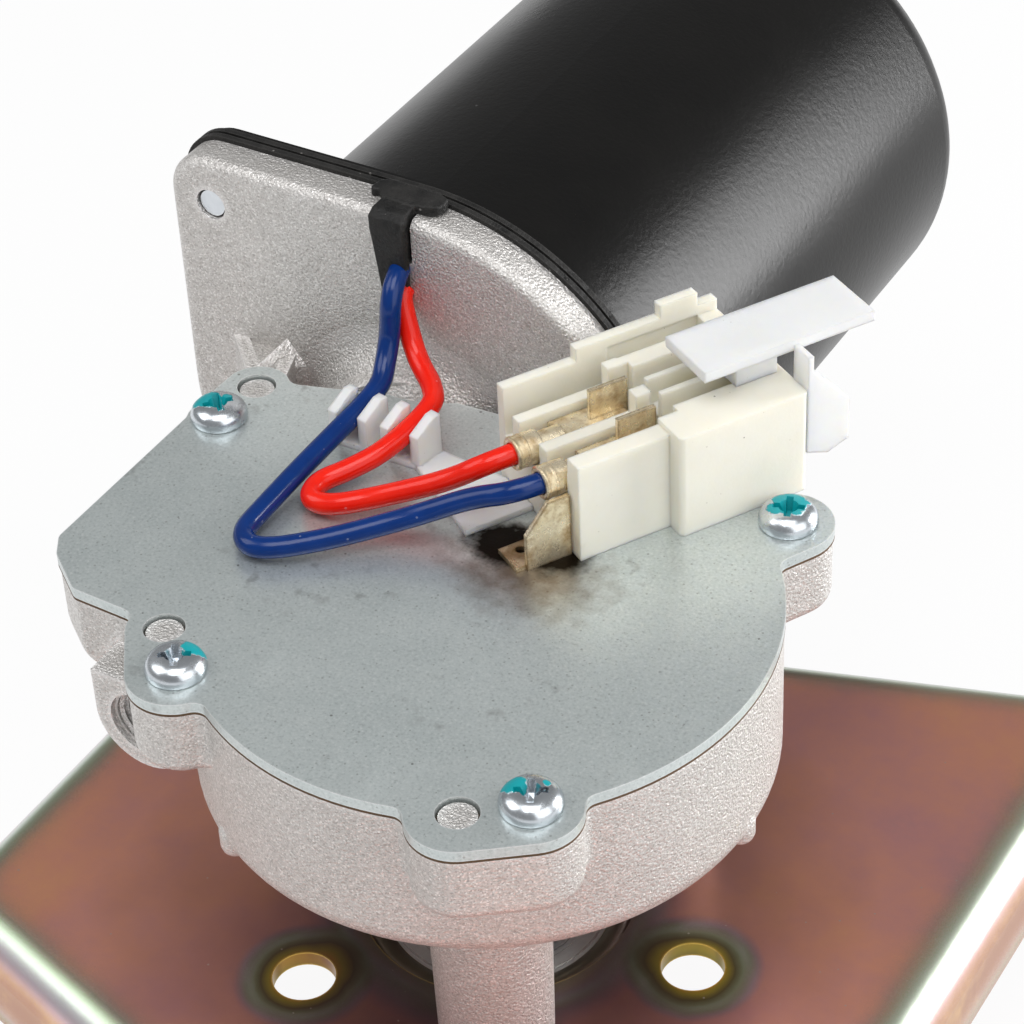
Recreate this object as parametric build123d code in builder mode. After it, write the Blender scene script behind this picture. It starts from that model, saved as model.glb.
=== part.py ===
from build123d import *
from math import atan, atan2, cos, degrees, pi, radians, sin, tan
import os

os.makedirs("parts", exist_ok=True)

# Frame: the origin lies on the output axis, in the top face of the bracket plate.
# +Z points up to the cover, +Y along the motor axis from gear case to can.
# All lengths are in millimetres.

# Bracket
plate_thickness = 3.0
plate_rim_depth = 20.0
plate_bend_radius = 8.0
plate_corner_radius = 14.0
plate_short_side_x = -90.0
plate_long_side_x = 79.0
plate_short_half_length = 48.0
plate_long_half_length = 101.0
mount_hole_radius = 5.5
mount_circle_radius = 38.5
leg_hole_radius = 4.5
hub_hole_radius = 24.3

# Welded hub under the plate
hub_radius = 20.0
hub_bore_radius = 12.5
hub_length = 24.0
hub_top_drop = 2.4
hub_step_count = 3
hub_step = 0.7
weld_crown = 0.9

# Gear case casting
case_floor_drop = 18.0
leg_radius = 9.75
leg_circle_radius = 33.0
leg_draft = 0.55
case_radius = 49.3
case_depth = 30.5
case_floor = 4.5
case_wall = 4.3
case_bottom_round = 5.5
mount_boss_radius = 6.6
mount_boss_height = 3.0
mount_thread_radius = 3.4
lobe_depth = 13.5
lobe_round = 3.0
worm_side_depth = 17.0
worm_side_round = 7.0
worm_side_bottom_round = 6.0
column_radius = 11.8
column_length = 26.0
rim_boss_radius = 5.6
blind_hole_spare = 0.7
hole_floor = 1.5

# Worm tunnel, the lug at its front end and the neck at its rear end
tunnel_radius = 13.2
tunnel_front_y = -30.0
lug_radius = 9.0
lug_flat_height = 8.5
lug_front_y = -38.0
lug_mouth_radius = 6.1
lug_mouth_depth = 1.2
neck_front_y = 30.0
neck_radius = 19.0
gusset_thickness = 2.5
gusset_lines = [((-80.5, 48.0), (-68.0, 36.0)), ((-69.0, 48.0), (-65.0, 36.0))]

# Gears
gear_teeth = 50
worm_pitch_radius = 6.0
centre_distance = 43.0
wheel_face_width = 10.0
wheel_rim_thickness = 6.0
wheel_web_thickness = 5.0
wheel_hub_radius = 12.0
worm_side_turns = 2
worm_core_margin = 4.5
pressure_angle = 20.0
backlash = 0.34
addendum_share = 0.9
root_clearance = 0.4
chamber_gap = 2.2

# Cover and its gasket
gasket_thickness = 0.5
cover_thickness = 2.0
cover_radius = 49.5
cover_corner_round = 2.5
cover_overhang = 0.3
cover_room = 0.6
pin_radius = 3.1
pin_gap = 0.4
pin_drop = 0.8
screw_hole_gap = 0.3

# Screws
cover_screw_radius = 2.5
cover_screw_length = 12.0
cover_head_radius = 5.1
cover_head_height = 3.7
cover_head_round = 2.4
recess_length = 5.6
recess_width = 1.3
recess_depth = 2.2
can_screw_radius = 2.6
can_screw_length = 11.2
can_head_radius = 4.6
can_head_height = 3.6
leg_screw_radius = 4.0
leg_screw_length = 18.0
leg_head_across_flats = 13.0
leg_head_height = 5.3
leg_washer_radius = 8.0
leg_washer_thickness = 1.6
thread_clearance = 0.05

# Motor flange on the casting
flange_front_y = 47.0
flange_thickness = 7.0
flange_radius = 49.0
flange_floor_gap = 3.0
flange_corner_round = 8.0
flange_edge_round = 2.0
flange_cup_depth = 3.8
flange_cup_inset = 3.0
ear_hole_inset = 9.0
ear_hole_radius = 3.0
flange_corner_share = 1.6

# Motor can
can_gasket_thickness = 3.0
can_gasket_proud = 0.9
can_gasket_groove = 0.6
can_gasket_lip = 1.2
can_inset = 2.0
can_wall = 2.5
can_length = 128.0
can_end_round = 9.0
can_rim_thickness = 1.8

# Motor inside
shaft_journal_radius = 5.0
shaft_core_radius = 6.0
shaft_end_radius = 4.0
shaft_front_y = -26.0
front_bush_length = 8.0
front_bush_radius = 7.0
front_bush_y = -25.5
ball_bearing_radius = 12.0
ball_bearing_width = 8.0
bearing_ball_radius = 2.0
bearing_ball_count = 8
bearing_inner_inset = 0.3
bearing_ring_gap = 0.9
rear_bush_radius = 8.0
rear_bush_length = 7.0
air_gap = 1.0
core_length = 62.0
core_start_y = 92.0
core_slots = 12
slot_width = 2.6
slot_pocket_radius = 3.6
slot_pocket_inset = 9.5
coil_height = 9.0
coil_inset = 4.0
coil_inner_radius = 15.0
coil_round = 3.5
coil_clearance = 0.1
magnet_thickness = 10.0
magnet_count = 4
magnet_arc = 68.0
magnet_overhang = 3.0
commutator_radius = 13.0
commutator_length = 18.0
commutator_start_y = 58.0
commutator_bars = 24
commutator_cut_width = 0.6
commutator_cut_depth = 1.2
riser_radius = 15.0
riser_length = 3.0
brush_plate_thickness = 2.0
brush_plate_gap = 0.2
brush_plate_bore = 8.0
brush_centre_y = 65.0
brush_width = 7.0
brush_depth = 9.0
brush_length = 13.0
brush_box_length = 20.0
brush_box_wall = 0.8
brush_box_start = 14.5
brush_clearance = 0.1
brush_spring_radius = 2.8
brush_spring_wire = 0.4
brush_spring_turns = 4
adjuster_radius = 5.6
adjuster_length = 3.5
adjuster_slot_width = 1.4
adjuster_slot_depth = 1.4
thrust_ball_gap = 4.0

# Output shaft and what it carries
shaft_radius = 6.0
shaft_seat_radius = 7.5
shaft_bottom = -52.0
shaft_cone_length = 12.0
shaft_thread_radius = 5.0
shaft_thread_length = 16.0
output_bush_radius = 8.2
output_bush_length = 11.0
column_bore_gap = 1.0
running_clearance = 0.04
seat_clearance = 0.02
washer_radius = 11.0
washer_thickness = 0.5
washer_gap = 0.1
circlip_thickness = 1.0
circlip_radius = 8.6
circlip_groove_depth = 0.6
circlip_opening = 4.0
park_disc_outer = 27.0
park_disc_inner = 13.0
park_disc_thickness = 0.8
park_notch_angle = 40.0
contact_gap = 0.3
contact_strip_width = 3.0
contact_strip_thickness = 0.4
contact_circles = [15.5, 20.0, 24.5]
carrier_start_x = 8.0
carrier_length = 19.0
carrier_half_width = 9.0
carrier_thickness = 2.5
nut_across_flats = 17.0
nut_height = 8.0
nut_washer_radius = 10.0
nut_washer_thickness = 2.0

# Wires, their clip and the rubber grommet
wire_radius = 1.9
wire_bend_share = 0.45
wire_largest_bend = 60.0
grommet_x = -44.0
grommet_width = 6.8
grommet_slot_clearance = 0.1
grommet_bottom_z = 92.0
grommet_front_y = 38.9
grommet_shoulder_y = 46.0
grommet_nose_height = 3.0
grommet_proud = 1.9
grommet_bar_left = 6.9
grommet_bar_right = 7.6
grommet_bar_depth = 4.2
comb_finger_thickness = 2.0
comb_slot_width = 4.0
comb_finger_pitch = 10.6
comb_finger_height = 9.2
comb_finger_start_y = 24.6
comb_finger_length = 5.7
comb_finger_turn = 12.0
comb_chamfer_along = 4.2
comb_chamfer_down = 2.2
comb_base_thickness = 1.2
comb_base_start = 5.7
comb_base_lane = 15.9
comb_base_far_lane = 24.7
comb_base_back_y = 30.4
comb_base_gap = 0.1
comb_centre_x = -36.05

# Plug-in connector on the cover, in its own turned frame:
# s runs along the wires' way in, t across them away from the front wall
connector_turn = 59.5
connector_start = 18.8
connector_step = 36.1
connector_end = 60.9
connector_width = 27.0
connector_bulge = 3.6
connector_front_wall = 3.5
connector_back_wall = 2.0
connector_low_height = 19.2
connector_high_height = 20.3
connector_partition_low = 16.0
connector_partition_high = 17.5
connector_partition_step = 27.5
connector_lane_end = 40.0
connector_edge_round = 1.0
socket_width = 7.0
socket_height = 3.6
flange_gap = 0.8
blue_lane = 7.1
red_lane = 16.4
spare_lane = 23.5
lane_width = 6.8
spare_lane_width = 3.0
top_slot_lanes = [7.1, 11.75, 16.4, 23.5]
top_slot_width = 3.6
top_slot_depth = 5.0
top_slot_end = 57.0
back_wall_steps = [(18.8, 19.8), (33.0, 22.4), (49.6, 25.0)]
back_wall_bump_end = 57.0
terminal_height = 13.0
crimp_radius = 2.9
crimp_start = 15.9
crimp_length = 4.4
wire_in_crimp = 1.7
wing_radius = 2.2
wing_length = 4.6
receptacle_width = 5.6
receptacle_height = 3.0
receptacle_length = 12.0
flag_start = 30.3
flag_length = 7.3
flag_height = 20.2
flag_thickness = 0.9
latch_start = 43.6
latch_end = 76.8
latch_low_lane = 1.0
latch_high_lane = 13.4
latch_height = 28.0
latch_thickness = 2.0
latch_neck_start = 51.5
latch_neck_end = 59.5
latch_neck_low_lane = 4.0
latch_neck_high_lane = 9.0
latch_leg_thickness = 4.5
latch_leg_lane = -3.4
latch_leg_reach = 8.3
latch_leg_bottom = 6.0
latch_leg_cut = 1.5
blade_start = 10.1
blade_height = 12.3
blade_thickness = 0.9
blade_end_gap = 0.3
blade_lane = 2.9
blade_corner_along = 4.3
blade_corner_down = 5.3
blade_foot_start = 8.2
blade_foot_length = 6.3
blade_foot_reach = 6.2
blade_foot_hole_radius = 0.9

# Corners of the cover's worm side, as (x, y)
worm_side_corners = [
    (-71.9, 22.0), (-71.9, -18.6), (-69.4, -22.6), (-61.6, -28.6), (-50.4, -29.0), (-30.0, -30.0),
    (-20.0, 0.0), (-16.0, 45.4), (-34.0, 44.2), (-52.0, 38.4), (-60.0, 36.0), (-71.9, 34.0),
]
# Corners of the deeper casting under it
worm_block_corners = [
    (-71.35, 33.0), (-71.35, -18.6), (-69.0, -22.5), (-61.5, -28.2), (-36.0, -28.6), (-36.0, 33.0),
]
# Screw and pin places in the cover and casting, and the radii of the lobes that carry them
screw_places = [(-66.6, 21.6), (-34.4, -37.4), (31.3, -37.8), (35.2, 41.2)]
pin_places = [(-66.0, 32.4), (-42.2, -29.8), (22.2, -44.3)]
lobe_radii = [(5.9, 5.9), (8.4, 6.4), (8.2, 8.4)]
far_lobe_radius = 7.8
far_lobe_root_radius = 12.0
far_lobe_root_share = 0.62
leg_start_angle = 60
leg_count = 3
mount_count = 3
brush_angle = 225
brush_spread = 90

# Worked out from the sizes above
worm_z = flange_radius + flange_floor_gap
floor_z = worm_z - case_floor_drop
rim_z = floor_z + case_depth
cover_bottom_z = rim_z + gasket_thickness
cover_top_z = cover_bottom_z + cover_thickness
inner_floor_z = floor_z + case_floor
cavity_radius = case_radius - case_wall
worm_x = -centre_distance
wheel_pitch_radius = centre_distance - worm_pitch_radius
gear_module = 2 * wheel_pitch_radius / gear_teeth
addendum = addendum_share * gear_module
dedendum = addendum + root_clearance
wheel_tip_radius = wheel_pitch_radius + addendum
wheel_root_radius = wheel_pitch_radius - dedendum
worm_tip_radius = worm_pitch_radius + addendum
worm_root_radius = worm_pitch_radius - dedendum
worm_lead = pi * gear_module
worm_half_length = (worm_side_turns + 0.25) * worm_lead
lead_angle = degrees(atan(worm_lead / (2 * pi * worm_pitch_radius)))
wheel_bottom_z = worm_z - wheel_face_width / 2
wheel_top_z = worm_z + wheel_face_width / 2
chamber_radius = worm_tip_radius + chamber_gap
chamber_front_y = front_bush_y + front_bush_length
chamber_rear_y = -chamber_front_y
passage_radius = worm_tip_radius + thread_clearance + screw_hole_gap
flange_back_y = flange_front_y + flange_thickness
flange_cup_y = flange_back_y - flange_cup_depth
flange_top_z = worm_z + flange_radius
ball_bearing_y = flange_cup_y - ball_bearing_width
can_start_y = flange_back_y + can_gasket_thickness
can_end_y = can_start_y + can_length
can_radius = flange_radius - can_inset
can_inner_radius = can_radius - can_wall
flange_cup_radius = can_radius - flange_cup_inset
ear_hole_offset = flange_radius - ear_hole_inset
core_radius = can_inner_radius - magnet_thickness - air_gap
coil_outer_radius = core_radius - coil_inset
slot_pocket_circle = core_radius - slot_pocket_inset
rear_bush_y = can_end_y - can_wall
dome_radius = rear_bush_radius + can_wall
dome_end_y = rear_bush_y + rear_bush_length + can_wall
core_end_y = core_start_y + core_length
column_bottom_z = floor_z - column_length
wheel_hub_bottom_z = inner_floor_z + washer_thickness + washer_gap
shaft_top_z = wheel_top_z + park_disc_thickness + contact_gap
circlip_z = column_bottom_z - 2 * washer_gap - washer_thickness - circlip_thickness
connector_floor = terminal_height - crimp_radius
blade_end = connector_start - blade_end_gap
gusset_foot_z = rim_z - lobe_depth + lobe_round

motor_plane = Plane(origin=(worm_x, 0, worm_z), x_dir=(1, 0, 0), z_dir=(0, 1, 0))
along_motor = Plane(origin=(worm_x, 0, worm_z), x_dir=(0, 1, 0), z_dir=(1, 0, 0))
motor_axis = Axis((worm_x, 0, worm_z), (0, 1, 0))
connector_plane = Plane(
    origin=(0, 0, cover_top_z),
    x_dir=(cos(radians(connector_turn)), sin(radians(connector_turn)), 0),
    z_dir=(0, 0, 1),
)
connector_side = Plane(
    origin=(0, 0, cover_top_z),
    x_dir=(cos(radians(connector_turn)), sin(radians(connector_turn)), 0),
    z_dir=(sin(radians(connector_turn)), -cos(radians(connector_turn)), 0),
)


connector_mouth = Plane(
    origin=connector_plane.from_local_coords(Vector(connector_end, 0, 0)),
    x_dir=connector_plane.y_dir, z_dir=connector_plane.x_dir,
)


def across_motor(y):
    """The plane across the motor axis at a height y along it."""
    return motor_plane.offset(y)


def on_connector(z):
    """The connector's plane raised by z above the cover."""
    return connector_plane.offset(z)


def connector_corner(s, t):
    """A point of the cover's plan given in the connector's frame."""
    corner = connector_point(s, t, 0)
    return (corner.X, corner.Y)


def connector_point(s, t, z):
    """A point given in the connector's own frame."""
    return connector_plane.from_local_coords(Vector(s, t, z))


def over_cover(x, y, height):
    """A point given by its place in the plan and its height over the cover."""
    return Vector(x, y, cover_top_z + height)


def finish(sub_part, name):
    """Name a finished sub-part and write it."""
    sub_part.label = name
    export_step(sub_part, "parts/" + name + ".step")
    print(name, "volume", round(sub_part.volume, 1))


def corner_rectangle(start, end, mode=Mode.ADD):
    """A rectangle between two opposite corners."""
    with Locations(((start[0] + end[0]) / 2, (start[1] + end[1]) / 2)):
        Rectangle(abs(end[0] - start[0]), abs(end[1] - start[1]), mode=mode)


def motor_profile(*points):
    """A closed profile of (distance along the motor axis, radius) points."""
    with BuildSketch(along_motor) as profile:
        with BuildLine():
            Polyline(*points, close=True)
        make_face()
    return profile.sketch


def output_profile(*points):
    """A closed profile of (radius, height) points beside the output axis."""
    with BuildSketch(Plane.XZ) as profile:
        with BuildLine():
            Polyline(*points, close=True)
        make_face()
    return profile.sketch


def cast_prism(plan, plane, height, edge_round):
    """A prism on a plan, with the edges of its first face rounded as a casting has them."""
    with BuildPart() as prism:
        with BuildSketch(plane):
            add(plan)
        extrude(amount=height)
        fillet(prism.edges().group_by(Axis(plane.origin, plane.z_dir))[0], edge_round)
    return prism.part


def cover_outline(grow):
    """The plan of the cover: round gear side, worm side and four screw lobes."""
    with BuildSketch(mode=Mode.PRIVATE) as plan:
        Circle(cover_radius)
        with BuildLine():
            Polyline(*worm_side_corners, close=True)
        make_face()
        for screw, pin, radii in zip(screw_places, pin_places, lobe_radii):
            with BuildSketch(mode=Mode.PRIVATE) as lobe:
                with Locations(screw):
                    Circle(radii[0])
                with Locations(pin):
                    Circle(radii[1])
                make_hull()
            add(lobe.sketch)
        with BuildSketch(mode=Mode.PRIVATE) as lobe:
            with Locations(screw_places[3]):
                Circle(far_lobe_radius)
            with Locations(Vector(*screw_places[3]) * far_lobe_root_share):
                Circle(far_lobe_root_radius)
            make_hull()
        add(lobe.sketch)
        offset(amount=cover_corner_round)
        offset(amount=-2 * cover_corner_round)
        offset(amount=cover_corner_round + grow)
    return plan.sketch


def worm_block_plan():
    """The plan of the deeper casting round the worm."""
    with BuildSketch(mode=Mode.PRIVATE) as plan:
        with BuildLine():
            Polyline(*worm_block_corners, close=True)
        make_face()
        fillet(plan.vertices(), worm_side_round)
    return plan.sketch


def flange_outline(grow):
    """The motor flange's plan: a circle with two square ears at opposite corners."""
    with BuildSketch(mode=Mode.PRIVATE) as plan:
        Circle(flange_radius + grow)
        for side in (1, -1):
            corner = side * (flange_radius + grow) / 2
            with Locations((-corner, -corner)):
                Rectangle(flange_radius + grow, flange_radius + grow)
        corners = [v for v in plan.vertices() if abs(v.X) + abs(v.Y) > flange_corner_share * flange_radius]
        fillet(corners, flange_corner_round + grow)
    return plan.sketch


cover_plan = cover_outline(0)
ear_places = [(-ear_hole_offset, -ear_hole_offset), (ear_hole_offset, ear_hole_offset)]


def make_gear_housing():
    """The die-cast case: gear chamber, worm tunnel, motor flange, lobes, legs and column."""
    lobes = cast_prism(
        cover_outline(-cover_overhang), Plane.XY.offset(rim_z - lobe_depth), lobe_depth, lobe_round
    )
    case = cast_prism(Circle(case_radius), Plane.XY.offset(floor_z), case_depth, case_bottom_round)
    worm_side = cast_prism(
        worm_block_plan(), Plane.XY.offset(rim_z - worm_side_depth),
        worm_side_depth, worm_side_bottom_round,
    )
    flange = cast_prism(
        flange_outline(0), across_motor(flange_front_y), flange_thickness, flange_edge_round
    )
    with BuildPart() as gear_housing:
        add(lobes)
        add(worm_side)
        add(case)
        add(flange)
        # worm tunnel with its neck to the flange, and the flat-topped lug at its front end
        revolve(
            motor_profile(
                (tunnel_front_y, 0), (tunnel_front_y, tunnel_radius),
                (neck_front_y, tunnel_radius), (flange_front_y, neck_radius),
                (flange_front_y + flange_edge_round, neck_radius),
                (flange_front_y + flange_edge_round, 0),
            ),
            axis=motor_axis,
        )
        with BuildSketch(across_motor(lug_front_y)):
            Circle(lug_radius)
            corner_rectangle((-lug_radius, -lug_flat_height), (lug_radius, 0))
        extrude(amount=tunnel_front_y - lug_front_y + lug_radius)
        # gussets between flange and case
        for wall_end, case_end in gusset_lines:
            along = Vector(*case_end) - Vector(*wall_end)
            with BuildSketch(Plane.XY.offset(gusset_foot_z)):
                with Locations((Vector(*wall_end) + Vector(*case_end)) / 2):
                    Rectangle(along.length, gusset_thickness, rotation=degrees(atan2(along.Y, along.X)))
            extrude(amount=rim_z - gusset_foot_z)
        # room for gasket and cover over the rim
        with BuildSketch(Plane.XY.offset(rim_z)):
            add(cover_outline(cover_room))
        extrude(amount=lobe_depth, mode=Mode.SUBTRACT)
        # locating pins for gasket and cover
        with BuildSketch(Plane.XY.offset(rim_z - 1)):
            with Locations(*pin_places):
                Circle(pin_radius)
        extrude(amount=cover_top_z - pin_drop - rim_z + 1)
        # legs, short bosses and the output column below the floor
        for turn in range(leg_count):
            angle = radians(leg_start_angle + turn * 360 / leg_count)
            leg_centre = (leg_circle_radius * cos(angle), leg_circle_radius * sin(angle))
            with BuildSketch(Plane.XY):
                with Locations(leg_centre):
                    Circle(leg_radius)
            with BuildSketch(Plane.XY.offset(floor_z + 1)):
                with Locations(leg_centre):
                    Circle(leg_radius + leg_draft)
            loft()
        with BuildSketch(Plane.XY.offset(floor_z - mount_boss_height)):
            with PolarLocations(mount_circle_radius, mount_count):
                Circle(mount_boss_radius)
        extrude(amount=mount_boss_height + case_floor)
        with BuildSketch(Plane.XY.offset(column_bottom_z)):
            Circle(column_radius)
        extrude(amount=column_length + case_floor)
        # gear chamber, its corners kept for screws and pins
        with BuildSketch(Plane.XY.offset(inner_floor_z)):
            Circle(cavity_radius)
            with Locations(*screw_places, *pin_places):
                Circle(rim_boss_radius, mode=Mode.SUBTRACT)
        extrude(amount=rim_z - inner_floor_z, mode=Mode.SUBTRACT)
        # worm chamber, open to the top
        with BuildSketch(across_motor(chamber_front_y)):
            Circle(chamber_radius)
            corner_rectangle((-chamber_radius, worm_z - rim_z - 1), (chamber_radius, 0))
        extrude(amount=chamber_rear_y - chamber_front_y, mode=Mode.SUBTRACT)
        # bores along the worm axis
        revolve(
            motor_profile(
                (lug_front_y, 0), (lug_front_y, lug_mouth_radius),
                (lug_front_y + lug_mouth_depth, lug_mouth_radius),
                (lug_front_y + lug_mouth_depth, adjuster_radius + thread_clearance),
                (front_bush_y, adjuster_radius + thread_clearance),
                (front_bush_y, front_bush_radius),
                (chamber_front_y + 1, front_bush_radius), (chamber_front_y + 1, 0),
            ),
            axis=motor_axis, mode=Mode.SUBTRACT,
        )
        revolve(
            motor_profile(
                (chamber_rear_y - 1, 0), (chamber_rear_y - 1, passage_radius),
                (ball_bearing_y, passage_radius), (ball_bearing_y, ball_bearing_radius),
                (flange_cup_y, ball_bearing_radius), (flange_cup_y, flange_cup_radius),
                (flange_back_y + 1, flange_cup_radius), (flange_back_y + 1, 0),
            ),
            axis=motor_axis, mode=Mode.SUBTRACT,
        )
        # output column bores
        revolve(
            output_profile(
                (0, column_bottom_z - 1), (output_bush_radius, column_bottom_z - 1),
                (output_bush_radius, column_bottom_z + output_bush_length),
                (shaft_radius + column_bore_gap, column_bottom_z + output_bush_length),
                (shaft_radius + column_bore_gap, inner_floor_z - output_bush_length),
                (output_bush_radius, inner_floor_z - output_bush_length),
                (output_bush_radius, inner_floor_z + 1), (0, inner_floor_z + 1),
            ),
            axis=Axis.Z, mode=Mode.SUBTRACT,
        )
        # screw holes in the rim, the legs, the short bosses and the flange's ears
        with BuildSketch(Plane.XY.offset(rim_z)):
            with Locations(*screw_places):
                Circle(cover_screw_radius + thread_clearance)
        extrude(
            amount=cover_thickness + gasket_thickness - cover_screw_length - blind_hole_spare,
            mode=Mode.SUBTRACT,
        )
        with BuildSketch(Plane.XY):
            with PolarLocations(leg_circle_radius, leg_count, start_angle=leg_start_angle):
                Circle(leg_screw_radius + thread_clearance)
        extrude(amount=leg_screw_length, mode=Mode.SUBTRACT)
        with BuildSketch(Plane.XY.offset(floor_z - mount_boss_height)):
            with PolarLocations(mount_circle_radius, mount_count):
                Circle(mount_thread_radius)
        extrude(amount=mount_boss_height + case_floor - hole_floor, mode=Mode.SUBTRACT)
        with BuildSketch(across_motor(flange_front_y - 1)):
            with Locations(*ear_places):
                Circle(ear_hole_radius)
        extrude(amount=flange_thickness + 2, mode=Mode.SUBTRACT)
        # slot for the wires' grommet
        slot_half_width = grommet_width / 2 + grommet_slot_clearance
        with BuildSketch(across_motor(flange_front_y - 1)):
            corner_rectangle(
                (grommet_x - worm_x - slot_half_width, -flange_radius - 1),
                (grommet_x - worm_x + slot_half_width, worm_z - grommet_bottom_z),
            )
        extrude(amount=flange_thickness + 2, mode=Mode.SUBTRACT)
    finish(gear_housing.part, "gear_housing")


def make_cover_plate():
    """The sheet cover with its screw and pin holes."""
    with BuildPart() as cover_plate:
        with BuildSketch(Plane.XY.offset(cover_bottom_z)):
            add(cover_plan)
            with Locations(*screw_places):
                Circle(cover_screw_radius + screw_hole_gap, mode=Mode.SUBTRACT)
            with Locations(*pin_places):
                Circle(pin_radius + pin_gap, mode=Mode.SUBTRACT)
        extrude(amount=cover_thickness)
    finish(cover_plate.part, "cover_plate")


def make_cover_gasket():
    """The paper gasket, cut to the casting's rim."""
    with BuildPart() as cover_gasket:
        with BuildSketch(Plane.XY.offset(rim_z)):
            add(cover_plan)
            with BuildSketch(mode=Mode.PRIVATE) as opening:
                Circle(cavity_radius)
                corner_rectangle(
                    (worm_x - chamber_radius, chamber_front_y),
                    (worm_x + chamber_radius, chamber_rear_y),
                )
                with Locations(*screw_places, *pin_places):
                    Circle(rim_boss_radius, mode=Mode.SUBTRACT)
            add(opening.sketch, mode=Mode.SUBTRACT)
            with Locations(*screw_places):
                Circle(cover_screw_radius + screw_hole_gap, mode=Mode.SUBTRACT)
            with Locations(*pin_places):
                Circle(pin_radius + seat_clearance, mode=Mode.SUBTRACT)
        extrude(amount=gasket_thickness)
    finish(cover_gasket.part, "cover_gasket")


def make_cover_screws():
    """Four pan-head screws with a cross recess."""
    with BuildPart() as cover_screws:
        with BuildSketch(Plane.XY.offset(cover_top_z)):
            with Locations(*screw_places):
                Circle(cover_head_radius)
        extrude(amount=cover_head_height)
        fillet(cover_screws.edges().group_by(Axis.Z)[-1], cover_head_round)
        with BuildSketch(Plane.XY.offset(cover_top_z)):
            with Locations(*screw_places):
                Circle(cover_screw_radius)
        extrude(amount=-cover_screw_length)
        with BuildSketch(Plane.XY.offset(cover_top_z + cover_head_height)):
            with Locations(*screw_places):
                Rectangle(recess_length, recess_width)
                Rectangle(recess_width, recess_length)
        extrude(amount=-recess_depth, mode=Mode.SUBTRACT)
    finish(cover_screws.part, "cover_screws")


def make_motor_can():
    """The deep-drawn can with its rim and the bearing dome at its end."""
    with BuildPart() as motor_can:
        with BuildSketch(along_motor) as shell:
            with BuildLine():
                Polyline(
                    (can_start_y, can_inner_radius), (can_start_y, can_radius),
                    (can_end_y, can_radius), (can_end_y, dome_radius),
                    (dome_end_y, dome_radius), (dome_end_y, 0),
                    (dome_end_y - can_wall, 0), (dome_end_y - can_wall, rear_bush_radius),
                    (rear_bush_y, rear_bush_radius), (rear_bush_y, can_inner_radius),
                    close=True,
                )
            make_face()
            outer_corner = shell.vertices().sort_by_distance((can_end_y, can_radius))[0]
            inner_corner = shell.vertices().sort_by_distance((rear_bush_y, can_inner_radius))[0]
            dome_corner = shell.vertices().sort_by_distance((dome_end_y, dome_radius))[0]
            fillet(outer_corner, can_end_round)
            fillet(inner_corner, can_end_round - can_wall)
            fillet(dome_corner, can_wall)
        revolve(axis=motor_axis)
        with BuildSketch(across_motor(can_start_y)):
            add(flange_outline(0))
            Circle(can_inner_radius, mode=Mode.SUBTRACT)
            with Locations(*ear_places):
                Circle(ear_hole_radius, mode=Mode.SUBTRACT)
        extrude(amount=can_rim_thickness)
    finish(motor_can.part, "motor_can")


def make_can_gasket():
    """The rubber gasket between flange and can, with two lips round its edge."""
    with BuildPart() as can_gasket:
        with BuildSketch(across_motor(flange_back_y)):
            add(flange_outline(can_gasket_proud - can_gasket_groove))
        extrude(amount=can_gasket_thickness)
        for lip_y in (flange_back_y, can_start_y - can_gasket_lip):
            with BuildSketch(across_motor(lip_y)):
                add(flange_outline(can_gasket_proud))
            extrude(amount=can_gasket_lip)
        with BuildSketch(across_motor(flange_back_y)):
            Circle(can_inner_radius)
            with Locations(*ear_places):
                Circle(ear_hole_radius)
        extrude(amount=can_gasket_thickness, mode=Mode.SUBTRACT)
    finish(can_gasket.part, "can_gasket")


def make_can_screws():
    """Two screws from the can's side into the flange's ears."""
    head_y = can_start_y + can_rim_thickness
    with BuildPart() as can_screws:
        with BuildSketch(across_motor(head_y)):
            with Locations(*ear_places):
                Circle(can_head_radius)
        extrude(amount=can_head_height)
        fillet(can_screws.edges().group_by(Axis.Y)[-1], can_head_height / 2)
        with BuildSketch(across_motor(head_y)):
            with Locations(*ear_places):
                Circle(can_screw_radius)
        extrude(amount=-can_screw_length)
        with BuildSketch(across_motor(head_y + can_head_height)):
            with Locations(*ear_places):
                Rectangle(recess_length, recess_width)
                Rectangle(recess_width, recess_length)
        extrude(amount=-recess_depth, mode=Mode.SUBTRACT)
    finish(can_screws.part, "can_screws")


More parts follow.
